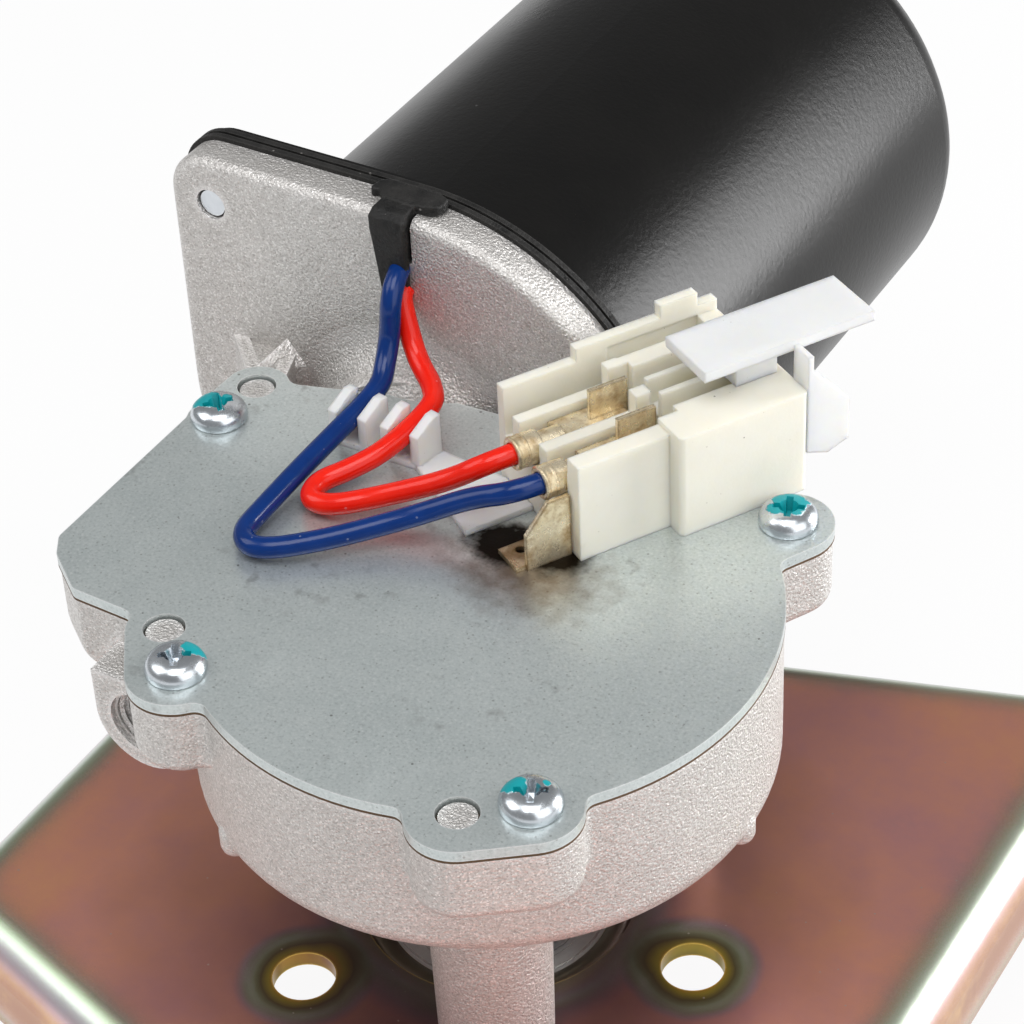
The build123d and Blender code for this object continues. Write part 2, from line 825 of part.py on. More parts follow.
def make_wheel():
    """The worm wheel: its tooth gaps lean by the worm's lead angle."""
    gap_half_width = (pi * gear_module / 2 + backlash) / 2
    gap_slope = tan(radians(pressure_angle) + pi / (2 * gear_teeth))
    tip_reach = wheel_tip_radius + 1
    lean = Vector(0, -sin(radians(lead_angle)), cos(radians(lead_angle)))
    cut_length = wheel_face_width / cos(radians(lead_angle))
    with BuildPart() as tooth_gap:
        with BuildSketch(Plane.XY.offset(worm_z)):
            with BuildLine():
                Polyline(
                    (-wheel_root_radius, gap_half_width - dedendum * gap_slope),
                    (-tip_reach, gap_half_width + (tip_reach - wheel_pitch_radius) * gap_slope),
                    (-tip_reach, -gap_half_width - (tip_reach - wheel_pitch_radius) * gap_slope),
                    (-wheel_root_radius, dedendum * gap_slope - gap_half_width),
                    close=True,
                )
            make_face()
        extrude(amount=cut_length, dir=lean, both=True)
    with BuildPart() as worm_wheel:
        rim_inner = wheel_root_radius - wheel_rim_thickness
        web_low = worm_z - wheel_web_thickness / 2
        bore = shaft_seat_radius + seat_clearance
        revolve(
            output_profile(
                (bore, wheel_hub_bottom_z), (wheel_hub_radius, wheel_hub_bottom_z),
                (wheel_hub_radius, web_low), (rim_inner, web_low), (rim_inner, wheel_bottom_z),
                (wheel_tip_radius, wheel_bottom_z), (wheel_tip_radius, wheel_top_z),
                (bore, wheel_top_z),
            ),
            axis=Axis.Z,
        )
        with PolarLocations(0, gear_teeth):
            add(tooth_gap.part, mode=Mode.SUBTRACT)
    finish(worm_wheel.part, "worm_wheel")


def make_armature_shaft():
    """The armature shaft with its worm, a single right-hand thread."""
    root_half = pi * gear_module / 4 + dedendum * tan(radians(pressure_angle))
    tip_half = pi * gear_module / 4 - addendum * tan(radians(pressure_angle))
    narrowing = cos(radians(lead_angle))
    thread_foot = Vector(worm_x, -worm_half_length, worm_z)
    with BuildLine() as thread_path:
        Helix(
            worm_lead, 2 * worm_half_length, worm_root_radius, center=thread_foot,
            direction=motor_axis.direction,
        )
    thread_line = thread_path.edges()[0]
    thread_start = Plane(
        origin=thread_line @ 0, x_dir=(thread_line @ 0) - thread_foot, z_dir=thread_line % 0
    )
    with BuildPart() as thread:
        with BuildSketch(thread_start):
            with BuildLine():
                Polyline(
                    (-addendum / 2, -root_half * narrowing), (0, -root_half * narrowing),
                    (addendum + dedendum, -tip_half * narrowing),
                    (addendum + dedendum, tip_half * narrowing),
                    (0, root_half * narrowing), (-addendum / 2, root_half * narrowing),
                    close=True,
                )
            make_face()
        sweep(path=thread_line, is_frenet=True)
    core_front_y = -worm_half_length - worm_core_margin
    core_rear_y = worm_half_length + worm_core_margin
    shaft_rear_y = rear_bush_y + rear_bush_length - 2 * contact_gap
    with BuildPart() as armature_shaft:
        revolve(
            motor_profile(
                (shaft_front_y, 0), (shaft_front_y, shaft_end_radius),
                (core_front_y, shaft_end_radius), (core_front_y, worm_root_radius),
                (core_rear_y, worm_root_radius), (core_rear_y, shaft_journal_radius),
                (core_start_y - coil_height, shaft_journal_radius),
                (core_start_y - coil_height, shaft_core_radius),
                (core_end_y + coil_height, shaft_core_radius),
                (core_end_y + coil_height, shaft_journal_radius),
                (rear_bush_y - 1, shaft_journal_radius), (rear_bush_y - 1, shaft_end_radius),
                (shaft_rear_y, shaft_end_radius), (shaft_rear_y, 0),
            ),
            axis=motor_axis,
        )
        add(thread.part)
    finish(armature_shaft.part, "armature_shaft")


def make_armature():
    """The laminated core, its windings and the commutator on the armature shaft."""
    with BuildPart() as armature_core:
        with BuildSketch(across_motor(core_start_y)):
            Circle(core_radius)
            Circle(shaft_core_radius + seat_clearance, mode=Mode.SUBTRACT)
            with PolarLocations(slot_pocket_circle, core_slots):
                Circle(slot_pocket_radius, mode=Mode.SUBTRACT)
            with PolarLocations((slot_pocket_circle + core_radius + 1) / 2, core_slots):
                Rectangle(core_radius + 1 - slot_pocket_circle, slot_width, mode=Mode.SUBTRACT)
        extrude(amount=core_length)
    finish(armature_core.part, "armature_core")

    with BuildPart() as armature_windings:
        for coil_y in (core_start_y - coil_height, core_end_y):
            with BuildSketch(across_motor(coil_y)):
                Circle(coil_outer_radius)
                Circle(coil_inner_radius, mode=Mode.SUBTRACT)
            extrude(amount=coil_height)
        fillet(armature_windings.edges().group_by(Axis.Y)[0], coil_round)
        fillet(armature_windings.edges().group_by(Axis.Y)[-1], coil_round)
        with BuildSketch(across_motor(core_start_y - 1)):
            with PolarLocations(slot_pocket_circle, core_slots):
                Circle(slot_pocket_radius - coil_clearance)
        extrude(amount=core_length + 2)
    finish(armature_windings.part, "armature_windings")

    with BuildPart() as commutator:
        with BuildSketch(across_motor(commutator_start_y)):
            Circle(commutator_radius)
        extrude(amount=commutator_length)
        with BuildSketch(across_motor(commutator_start_y + commutator_length - riser_length)):
            Circle(riser_radius)
        extrude(amount=riser_length)
        with BuildSketch(across_motor(commutator_start_y)):
            Circle(shaft_journal_radius + seat_clearance)
            with PolarLocations(riser_radius - commutator_cut_depth, commutator_bars):
                corner_rectangle(
                    (commutator_radius - riser_radius, -commutator_cut_width / 2),
                    (2 * commutator_cut_depth, commutator_cut_width / 2),
                )
        extrude(amount=commutator_length, mode=Mode.SUBTRACT)
    finish(commutator.part, "commutator")


def make_magnets():
    """Four curved magnets against the can's wall."""
    magnet_y = core_start_y - magnet_overhang
    outer = can_inner_radius - seat_clearance
    inner = outer - magnet_thickness
    half_arc = radians(magnet_arc / 2)
    with BuildPart() as magnets:
        for turn in range(magnet_count):
            middle = radians(45) + turn * 2 * pi / magnet_count
            first = Vector(cos(middle - half_arc), sin(middle - half_arc))
            centre = Vector(cos(middle), sin(middle))
            last = Vector(cos(middle + half_arc), sin(middle + half_arc))
            with BuildSketch(across_motor(magnet_y)):
                with BuildLine():
                    ThreePointArc(first * outer, centre * outer, last * outer)
                    Line(last * outer, last * inner)
                    ThreePointArc(last * inner, centre * inner, first * inner)
                    Line(first * inner, first * outer)
                make_face()
            extrude(amount=core_length + 2 * magnet_overhang)
    finish(magnets.part, "magnets")


def make_brush_gear():
    """The brush plate, two brush boxes, the carbon brushes and their springs."""
    plate_back_y = flange_cup_y + brush_plate_thickness
    box_width = brush_width + 2 * brush_clearance + 2 * brush_box_wall
    box_back_y = brush_centre_y + brush_depth / 2 + brush_clearance + brush_box_wall
    channel_y = brush_centre_y - brush_depth / 2 - brush_clearance
    with BuildPart() as brush_plate:
        with BuildSketch(across_motor(flange_cup_y)):
            Circle(flange_cup_radius - brush_plate_gap)
            Circle(brush_plate_bore, mode=Mode.SUBTRACT)
            corner_rectangle(
                (grommet_x - worm_x - grommet_width, -flange_radius),
                (grommet_x - worm_x + grommet_width, worm_z - grommet_bottom_z + brush_plate_gap),
                mode=Mode.SUBTRACT,
            )
        extrude(amount=brush_plate_thickness)
    finish(brush_plate.part, "brush_plate")

    with BuildPart() as brush_boxes:
        with BuildSketch(across_motor(plate_back_y)):
            with PolarLocations(brush_box_start, 2, brush_angle, brush_spread, endpoint=True):
                corner_rectangle((0, -box_width / 2), (brush_box_length, box_width / 2))
        extrude(amount=box_back_y - plate_back_y)
        with BuildSketch(across_motor(channel_y)):
            with PolarLocations(brush_box_start, 2, brush_angle, brush_spread, endpoint=True):
                corner_rectangle(
                    (-1, -brush_width / 2 - brush_clearance),
                    (brush_box_length - brush_box_wall, brush_width / 2 + brush_clearance),
                )
        extrude(amount=brush_depth + 2 * brush_clearance, mode=Mode.SUBTRACT)
    finish(brush_boxes.part, "brush_boxes")

    with BuildPart() as brushes:
        with BuildSketch(across_motor(brush_centre_y - brush_depth / 2)):
            with PolarLocations(commutator_radius, 2, brush_angle, brush_spread, endpoint=True):
                corner_rectangle((-1, -brush_width / 2), (brush_length, brush_width / 2))
            Circle(commutator_radius + running_clearance, mode=Mode.SUBTRACT)
        extrude(amount=brush_depth)
    finish(brushes.part, "brushes")

    spring_start = commutator_radius + brush_length + brush_spring_wire + seat_clearance
    spring_end = brush_box_start + brush_box_length - brush_box_wall - brush_spring_wire
    spring_length = spring_end - seat_clearance - spring_start
    with BuildPart() as brush_springs:
        for angle in (brush_angle, brush_angle + brush_spread):
            outward = Vector(cos(radians(angle)), 0, -sin(radians(angle)))
            foot = Vector(worm_x, brush_centre_y, worm_z) + outward * spring_start
            with BuildLine() as coil:
                Helix(
                    spring_length / brush_spring_turns, spring_length, brush_spring_radius,
                    center=foot, direction=outward,
                )
            coil_line = coil.edges()[0]
            with BuildSketch(Plane(origin=coil_line @ 0, z_dir=coil_line % 0)):
                Circle(brush_spring_wire)
            sweep(path=coil_line, is_frenet=True)
    finish(brush_springs.part, "brush_springs")


def make_shaft_bearings():
    """What carries the armature: front bush, ball bearing, rear bush, ball and adjuster."""
    with BuildPart() as front_bush:
        with BuildSketch(across_motor(front_bush_y)):
            Circle(front_bush_radius - seat_clearance)
            Circle(shaft_end_radius + running_clearance, mode=Mode.SUBTRACT)
        extrude(amount=front_bush_length)
    finish(front_bush.part, "front_bush")

    with BuildPart() as rear_bush:
        with BuildSketch(across_motor(rear_bush_y)):
            Circle(rear_bush_radius - seat_clearance)
            Circle(shaft_end_radius + running_clearance, mode=Mode.SUBTRACT)
        extrude(amount=rear_bush_length)
    finish(rear_bush.part, "rear_bush")

    ball_circle = (ball_bearing_radius + shaft_journal_radius) / 2
    race_radius = bearing_ball_radius + running_clearance
    middle_y = ball_bearing_y + ball_bearing_width / 2
    with BuildPart() as bearing_outer_ring:
        with BuildSketch(along_motor):
            corner_rectangle(
                (ball_bearing_y, ball_circle + bearing_ring_gap),
                (flange_cup_y, ball_bearing_radius - seat_clearance),
            )
            with Locations((middle_y, ball_circle)):
                Circle(race_radius, mode=Mode.SUBTRACT)
        revolve(axis=motor_axis)
    finish(bearing_outer_ring.part, "bearing_outer_ring")

    with BuildPart() as bearing_inner_ring:
        with BuildSketch(along_motor):
            corner_rectangle(
                (ball_bearing_y + bearing_inner_inset, shaft_journal_radius + seat_clearance),
                (flange_cup_y - bearing_inner_inset, ball_circle - bearing_ring_gap),
            )
            with Locations((middle_y, ball_circle)):
                Circle(race_radius, mode=Mode.SUBTRACT)
        revolve(axis=motor_axis)
    finish(bearing_inner_ring.part, "bearing_inner_ring")

    with BuildPart() as bearing_balls:
        for turn in range(bearing_ball_count):
            angle = turn * 2 * pi / bearing_ball_count
            place = (worm_x + ball_circle * cos(angle), middle_y, worm_z + ball_circle * sin(angle))
            with Locations(place):
                Sphere(bearing_ball_radius)
    finish(bearing_balls.part, "bearing_balls")

    adjuster_back_y = shaft_front_y - thrust_ball_gap
    with BuildPart() as thrust_ball:
        with Locations((worm_x, shaft_front_y - thrust_ball_gap / 2, worm_z)):
            Sphere(thrust_ball_gap / 2 - seat_clearance)
    finish(thrust_ball.part, "thrust_ball")

    with BuildPart() as adjuster_plug:
        with BuildSketch(across_motor(adjuster_back_y)):
            Circle(adjuster_radius)
        extrude(amount=-adjuster_length)
        with BuildSketch(across_motor(adjuster_back_y - adjuster_length)):
            Rectangle(2 * adjuster_radius + 1, adjuster_slot_width)
        extrude(amount=adjuster_slot_depth, mode=Mode.SUBTRACT)
    finish(adjuster_plug.part, "adjuster_plug")


def make_output_parts():
    """The output shaft with its bushes, washers, circlip, nut and park disc."""
    cone_top_z = shaft_bottom + shaft_thread_length + shaft_cone_length
    cone_bottom_z = shaft_bottom + shaft_thread_length
    groove_radius = shaft_radius - circlip_groove_depth
    with BuildPart() as output_shaft:
        revolve(
            output_profile(
                (0, shaft_bottom), (shaft_thread_radius - 1, shaft_bottom),
                (shaft_thread_radius, shaft_bottom + 1), (shaft_thread_radius, cone_bottom_z),
                (shaft_radius, cone_top_z),
                (shaft_radius, circlip_z - seat_clearance),
                (groove_radius, circlip_z - seat_clearance),
                (groove_radius, circlip_z + circlip_thickness + seat_clearance),
                (shaft_radius, circlip_z + circlip_thickness + seat_clearance),
                (shaft_radius, wheel_hub_bottom_z), (shaft_seat_radius, wheel_hub_bottom_z),
                (shaft_seat_radius, shaft_top_z), (0, shaft_top_z),
            ),
            axis=Axis.Z,
        )
    finish(output_shaft.part, "output_shaft")

    with BuildPart() as output_bushes:
        for bush_z in (column_bottom_z, inner_floor_z - output_bush_length):
            with BuildSketch(Plane.XY.offset(bush_z)):
                Circle(output_bush_radius - seat_clearance)
                Circle(shaft_radius + running_clearance, mode=Mode.SUBTRACT)
            extrude(amount=output_bush_length)
    finish(output_bushes.part, "output_bushes")

    with BuildPart() as thrust_washers:
        for washer_z in (inner_floor_z, column_bottom_z - washer_thickness):
            with BuildSketch(Plane.XY.offset(washer_z)):
                Circle(washer_radius)
                Circle(shaft_radius + running_clearance, mode=Mode.SUBTRACT)
            extrude(amount=washer_thickness)
    finish(thrust_washers.part, "thrust_washers")

    with BuildPart() as circlip:
        with BuildSketch(Plane.XY.offset(circlip_z)):
            Circle(circlip_radius)
            Circle(groove_radius + seat_clearance, mode=Mode.SUBTRACT)
            corner_rectangle(
                (0, -circlip_opening / 2), (circlip_radius + 1, circlip_opening / 2),
                mode=Mode.SUBTRACT,
            )
        extrude(amount=circlip_thickness)
    finish(circlip.part, "circlip")

    with BuildPart() as park_disc:
        with BuildSketch(Plane.XY.offset(wheel_top_z)):
            Circle(park_disc_outer)
            Circle(park_disc_inner, mode=Mode.SUBTRACT)
            notch = radians(park_notch_angle / 2)
            reach = park_disc_outer + 1
            with BuildSketch(mode=Mode.PRIVATE) as notch_plan:
                with BuildLine():
                    Polyline(
                        (0, 0), (reach * cos(notch), -reach * sin(notch)),
                        (reach * cos(notch), reach * sin(notch)), close=True,
                    )
                make_face()
                Circle((park_disc_inner + park_disc_outer) / 2, mode=Mode.SUBTRACT)
            add(notch_plan.sketch, mode=Mode.SUBTRACT)
        extrude(amount=park_disc_thickness)
    finish(park_disc.part, "park_disc")

    nut_top_z = shaft_bottom + shaft_thread_length - nut_washer_thickness
    with BuildPart() as shaft_washer:
        with BuildSketch(Plane.XY.offset(nut_top_z)):
            Circle(nut_washer_radius)
            Circle(shaft_thread_radius + thread_clearance, mode=Mode.SUBTRACT)
        extrude(amount=nut_washer_thickness)
    finish(shaft_washer.part, "shaft_washer")

    with BuildPart() as shaft_nut:
        with BuildSketch(Plane.XY.offset(nut_top_z)):
            RegularPolygon(nut_across_flats / 2, 6, major_radius=False)
            Circle(shaft_thread_radius + thread_clearance, mode=Mode.SUBTRACT)
        extrude(amount=-nut_height)
    finish(shaft_nut.part, "shaft_nut")


def make_park_switch():
    """The park switch under the cover: an insulating carrier and three spring contacts."""
    carrier_bottom_z = cover_bottom_z - carrier_thickness
    tip_z = wheel_top_z + park_disc_thickness + contact_gap
    with BuildPart() as contact_carrier:
        with BuildSketch(Plane.XY.offset(carrier_bottom_z)):
            corner_rectangle(
                (carrier_start_x, -carrier_half_width),
                (carrier_start_x + carrier_length, carrier_half_width),
            )
        extrude(amount=carrier_thickness)
    finish(contact_carrier.part, "contact_carrier")

    foot_end = -carrier_half_width + 3 * contact_strip_width
    with BuildPart() as park_contacts:
        for circle in contact_circles:
            with BuildSketch(Plane.YZ.offset(circle - contact_strip_width / 2)):
                with BuildLine():
                    Polyline(
                        (-carrier_half_width, carrier_bottom_z),
                        (foot_end, carrier_bottom_z),
                        (carrier_half_width, tip_z + contact_strip_thickness),
                        (carrier_half_width + 2, tip_z + 3 * contact_strip_thickness),
                        (carrier_half_width + 2, tip_z + 2 * contact_strip_thickness),
                        (carrier_half_width, tip_z),
                        (foot_end, carrier_bottom_z - contact_strip_thickness),
                        (-carrier_half_width, carrier_bottom_z - contact_strip_thickness),
                        close=True,
                    )
                make_face()
            extrude(amount=contact_strip_width)
    finish(park_contacts.part, "park_contacts")


def make_wire_grommet():
    """The rubber grommet that brings both wires through the flange."""
    back_y = flange_back_y - grommet_slot_clearance
    top_z = flange_top_z + grommet_proud
    flange_room = cast_prism(
        flange_outline(grommet_slot_clearance), across_motor(flange_front_y - 1),
        flange_thickness + 2, grommet_slot_clearance,
    )
    with BuildPart() as wire_grommet:
        with BuildSketch(across_motor(back_y)):
            corner_rectangle(
                (grommet_x - worm_x - grommet_bar_left, -flange_radius - grommet_proud),
                (grommet_x - worm_x + grommet_bar_right, -flange_radius + 2 * grommet_proud),
            )
        extrude(amount=-grommet_bar_depth)
        add(flange_room, mode=Mode.SUBTRACT)
        with BuildSketch(Plane.YZ.offset(grommet_x - grommet_width / 2)):
            with BuildLine():
                Polyline(
                    (back_y, top_z), (grommet_shoulder_y, top_z),
                    (grommet_shoulder_y - grommet_proud, top_z - grommet_proud),
                    (grommet_front_y, grommet_bottom_z + grommet_nose_height),
                    (grommet_front_y, grommet_bottom_z), (back_y, grommet_bottom_z),
                    close=True,
                )
            make_face()
        extrude(amount=grommet_width)
    finish(wire_grommet.part, "wire_grommet")


def make_wire_comb():
    """The white comb on the cover that holds each wire between two fingers."""
    half_slot = (comb_slot_width + comb_finger_thickness) / 2
    half_pitch = comb_finger_pitch / 2
    finger_places = [
        comb_centre_x - half_pitch - half_slot, comb_centre_x - half_pitch + half_slot,
        comb_centre_x + half_pitch - half_slot, comb_centre_x + half_pitch + half_slot,
    ]
    with BuildPart() as wire_comb:
        # base plate from the fingers to the connector
        with BuildSketch(Plane.XY.offset(cover_top_z)):
            with BuildLine():
                Polyline(
                    connector_corner(comb_base_start, comb_base_lane),
                    connector_corner(connector_start - comb_base_gap, comb_base_lane),
                    connector_corner(connector_start - comb_base_gap, comb_base_far_lane),
                    (finger_places[3], comb_base_back_y),
                    (finger_places[0], comb_base_back_y),
                    (finger_places[0], comb_finger_start_y),
                    (finger_places[3], comb_finger_start_y), close=True,
                )
            make_face()
        extrude(amount=comb_base_thickness)
        for finger_x in finger_places:
            finger_side = Plane(
                origin=(finger_x, comb_finger_start_y, cover_top_z),
                x_dir=(sin(radians(comb_finger_turn)), cos(radians(comb_finger_turn)), 0),
                z_dir=(cos(radians(comb_finger_turn)), -sin(radians(comb_finger_turn)), 0),
            )
            with BuildSketch(finger_side.offset(-comb_finger_thickness / 2)):
                with BuildLine():
                    Polyline(
                        (0, 0), (comb_finger_length, 0), (comb_finger_length, comb_finger_height),
                        (comb_chamfer_along, comb_finger_height),
                        (0, comb_finger_height - comb_chamfer_down), close=True,
                    )
                make_face()
            extrude(amount=comb_finger_thickness)
    finish(wire_comb.part, "wire_comb")


def make_connector_housing():
    """The white connector: open lanes at the wires' end, a taller block with a stepped back."""
    back_t = connector_width - connector_back_wall
    with BuildPart() as connector_housing:
        with BuildSketch(on_connector(0)):
            corner_rectangle((connector_start, 0), (connector_step + 1, connector_width))
        extrude(amount=connector_low_height)
        with BuildSketch(on_connector(0)) as block:
            corner_rectangle((connector_step, -connector_bulge), (connector_end, connector_width))
            fillet(block.vertices().group_by(Axis.Y)[0], connector_edge_round)
        extrude(amount=connector_high_height)
        for start, height in back_wall_steps:
            end = back_wall_bump_end if start == back_wall_steps[-1][0] else connector_end
            with BuildSketch(on_connector(0)):
                corner_rectangle((start, back_t), (end, connector_width))
            extrude(amount=height)
        # partitions step down towards the wires
        for start, height in (
            (connector_start - 1, connector_partition_low),
            (connector_partition_step, connector_partition_high),
        ):
            with BuildSketch(on_connector(height)):
                corner_rectangle((start, connector_front_wall), (connector_step, back_t))
            extrude(amount=connector_high_height, mode=Mode.SUBTRACT)
        # lanes for the terminals
        with BuildSketch(on_connector(connector_floor)):
            for lane, width in (
                (blue_lane, lane_width), (red_lane, lane_width), (spare_lane, spare_lane_width),
            ):
                corner_rectangle(
                    (connector_start - 1, lane - width / 2), (connector_lane_end, lane + width / 2)
                )
        extrude(amount=connector_high_height, mode=Mode.SUBTRACT)
        # slots in the top of the block
        with BuildSketch(on_connector(connector_high_height)):
            for lane in top_slot_lanes:
                corner_rectangle(
                    (connector_lane_end - 1, lane - top_slot_width / 2),
                    (top_slot_end, lane + top_slot_width / 2),
                )
        extrude(amount=-top_slot_depth, mode=Mode.SUBTRACT)
        # sockets for the plug, open at the far end
        with BuildSketch(connector_mouth):
            for lane in (blue_lane, red_lane):
                corner_rectangle(
                    (lane - socket_width / 2, terminal_height - socket_height / 2),
                    (lane + socket_width / 2, terminal_height + socket_height / 2),
                )
        extrude(amount=-(connector_end - connector_lane_end) - 1, mode=Mode.SUBTRACT)
        # relief at the back for the motor flange and its gasket
        with BuildSketch(across_motor(flange_front_y - flange_gap)):
            add(flange_outline(can_gasket_proud + flange_gap))
        extrude(amount=connector_end, mode=Mode.SUBTRACT)
    finish(connector_housing.part, "connector_housing")


def make_connector_latch():
    """The latch over the connector: a long plate on a neck, with a hooked leg at the end."""
    plate_bottom = latch_height - latch_thickness
    leg_end = connector_end + latch_leg_reach
    leg_front_t = latch_leg_lane + latch_leg_thickness
    with BuildPart() as connector_latch:
        with BuildSketch(on_connector(plate_bottom)):
            corner_rectangle((latch_start, latch_low_lane), (latch_end, latch_high_lane))
        extrude(amount=latch_thickness)
        with BuildSketch(on_connector(connector_high_height)):
            corner_rectangle(
                (latch_neck_start, latch_neck_low_lane), (latch_neck_end, latch_neck_high_lane)
            )
        extrude(amount=plate_bottom - connector_high_height)
        with BuildSketch(connector_side.offset(-leg_front_t)):
            with BuildLine():
                Polyline(
                    (connector_end, plate_bottom + latch_thickness / 2),
                    (connector_end, latch_leg_bottom + latch_leg_cut),
                    (connector_end + latch_leg_reach / 2, latch_leg_bottom),
                    (leg_end, latch_leg_bottom + latch_leg_cut),
                    (leg_end, plate_bottom - latch_leg_reach - latch_thickness),
                    (connector_end + 1, plate_bottom - latch_thickness),
                    (connector_end + 1, plate_bottom + latch_thickness / 2),
                    close=True,
                )
            make_face()
        extrude(amount=latch_leg_thickness)
    finish(connector_latch.part, "connector_latch")


def make_terminal(lane, name):
    """A crimped terminal: wire crimp, wings, receptacle and the upright flag behind it."""
    across = Plane(
        origin=connector_point(crimp_start, lane, terminal_height),
        x_dir=connector_plane.y_dir, z_dir=connector_plane.x_dir,
    )
    receptacle_start = crimp_start + crimp_length + wing_length
    with BuildPart() as terminal:
        with BuildSketch(across):
            Circle(crimp_radius)
        extrude(amount=crimp_length)
        with BuildSketch(across):
            Circle(wire_radius + seat_clearance)
        extrude(amount=wire_in_crimp + seat_clearance, mode=Mode.SUBTRACT)
        with BuildSketch(across.offset(crimp_length)):
            Circle(wing_radius)
        extrude(amount=wing_length)
        with BuildSketch(on_connector(terminal_height - receptacle_height / 2)):
            corner_rectangle(
                (receptacle_start - 1, lane - receptacle_width / 2),
                (receptacle_start + receptacle_length, lane + receptacle_width / 2),
            )
        extrude(amount=receptacle_height)
        with BuildSketch(on_connector(terminal_height)):
            corner_rectangle(
                (flag_start, lane - flag_thickness / 2),
                (flag_start + flag_length, lane + flag_thickness / 2),
            )
        extrude(amount=flag_height - terminal_height)
    finish(terminal.part, name)


def make_contact_blade():
    """The bare contact blade in front of the connector, on its own foot."""
    blade_side = connector_side.offset(-blade_lane - blade_thickness / 2)
    with BuildPart() as contact_blade:
        with BuildSketch(blade_side):
            with BuildLine():
                Polyline(
                    (blade_start, 0), (blade_end, 0), (blade_end, blade_height),
                    (blade_start + blade_corner_along, blade_height),
                    (blade_start, blade_height - blade_corner_down), close=True,
                )
            make_face()
        extrude(amount=blade_thickness)
        with BuildSketch(on_connector(0)):
            corner_rectangle(
                (blade_foot_start, blade_lane),
                (blade_foot_start + blade_foot_length, blade_lane + blade_foot_reach),
            )
            with Locations(
                (blade_foot_start + blade_foot_length / 2, blade_lane + blade_foot_reach * 2 / 3)
            ):
                Circle(blade_foot_hole_radius, mode=Mode.SUBTRACT)
        extrude(amount=blade_thickness)
    finish(contact_blade.part, "contact_blade")


def bend_radii(points):
    """One bend radius for each corner of a route, as large as its two runs allow."""
    radii = []
    for before, corner, after in zip(points, points[1:], points[2:]):
        run_in = corner - before
        run_out = after - corner
        half_turn = radians(run_in.get_angle(run_out) / 2)
        shorter = min(run_in.length, run_out.length)
        radii.append(min(wire_bend_share * shorter / tan(half_turn), wire_largest_bend))
    return radii


def make_wire(route, name):
    """One insulated wire from the grommet through the comb to its terminal."""
    radii = bend_radii(route)
    print(name, "bend radii", [round(radius, 1) for radius in radii])
    with BuildPart() as wire:
        with BuildLine() as path:
            FilletPolyline(*route, radius=radii)
        with BuildSketch(Plane(origin=path.line @ 0, z_dir=path.line % 0)):
            Circle(wire_radius)
        sweep(path=path.line)
    print(name, "section times length", round(pi * wire_radius**2 * path.wire().length, 1))
    finish(wire.part, name)


def make_bracket():
    """The pressed tray that carries the motor, its welded hub and the weld between them."""
    with BuildPart() as mounting_bracket:
        with BuildSketch(Plane.XY):
            with BuildLine():
                Polyline(
                    (plate_short_side_x, -plate_short_half_length),
                    (plate_long_side_x, -plate_long_half_length),
                    (plate_long_side_x, plate_long_half_length),
                    (plate_short_side_x, plate_short_half_length), close=True,
                )
            make_face()
        extrude(amount=-plate_rim_depth)
        fillet(mounting_bracket.edges().filter_by(Axis.Z), plate_corner_radius)
        fillet(mounting_bracket.edges().group_by(Axis.Z)[-1], plate_bend_radius)
        open_side = mounting_bracket.faces().sort_by(Axis.Z)[0]
        offset(amount=-plate_thickness, openings=open_side)
        with BuildSketch(Plane.XY):
            Circle(hub_hole_radius)
            with PolarLocations(mount_circle_radius, mount_count):
                Circle(mount_hole_radius)
            with PolarLocations(leg_circle_radius, leg_count, start_angle=leg_start_angle):
                Circle(leg_hole_radius)
        extrude(amount=-plate_thickness - 1, mode=Mode.SUBTRACT)
    finish(mounting_bracket.part, "mounting_bracket")

    with BuildPart() as threaded_hub:
        profile = [(hub_bore_radius, -hub_top_drop - hub_length)]
        profile.append((hub_radius, -hub_top_drop - hub_length))
        profile.append((hub_radius, -hub_top_drop))
        for turn in range(hub_step_count):
            step_radius = hub_bore_radius + (hub_step_count - turn) * hub_step
            profile.append((step_radius, -hub_top_drop - turn * hub_step))
            profile.append((step_radius, -hub_top_drop - (turn + 1) * hub_step))
        profile.append((hub_bore_radius, -hub_top_drop - hub_step_count * hub_step))
        revolve(output_profile(*profile), axis=Axis.Z)
    finish(threaded_hub.part, "threaded_hub")

    weld_inner = hub_radius + seat_clearance
    weld_outer = hub_hole_radius - seat_clearance
    weld_middle = (weld_inner + weld_outer) / 2
    with BuildPart() as weld_bead:
        with BuildSketch(Plane.XZ):
            with BuildLine():
                ThreePointArc(
                    (weld_inner, -hub_top_drop), (weld_middle, -hub_top_drop + weld_crown),
                    (weld_outer, -hub_top_drop),
                )
                Polyline(
                    (weld_outer, -hub_top_drop), (weld_outer, -plate_thickness),
                    (weld_inner, -plate_thickness), (weld_inner, -hub_top_drop),
                )
            make_face()
        revolve(axis=Axis.Z)
    finish(weld_bead.part, "weld_bead")


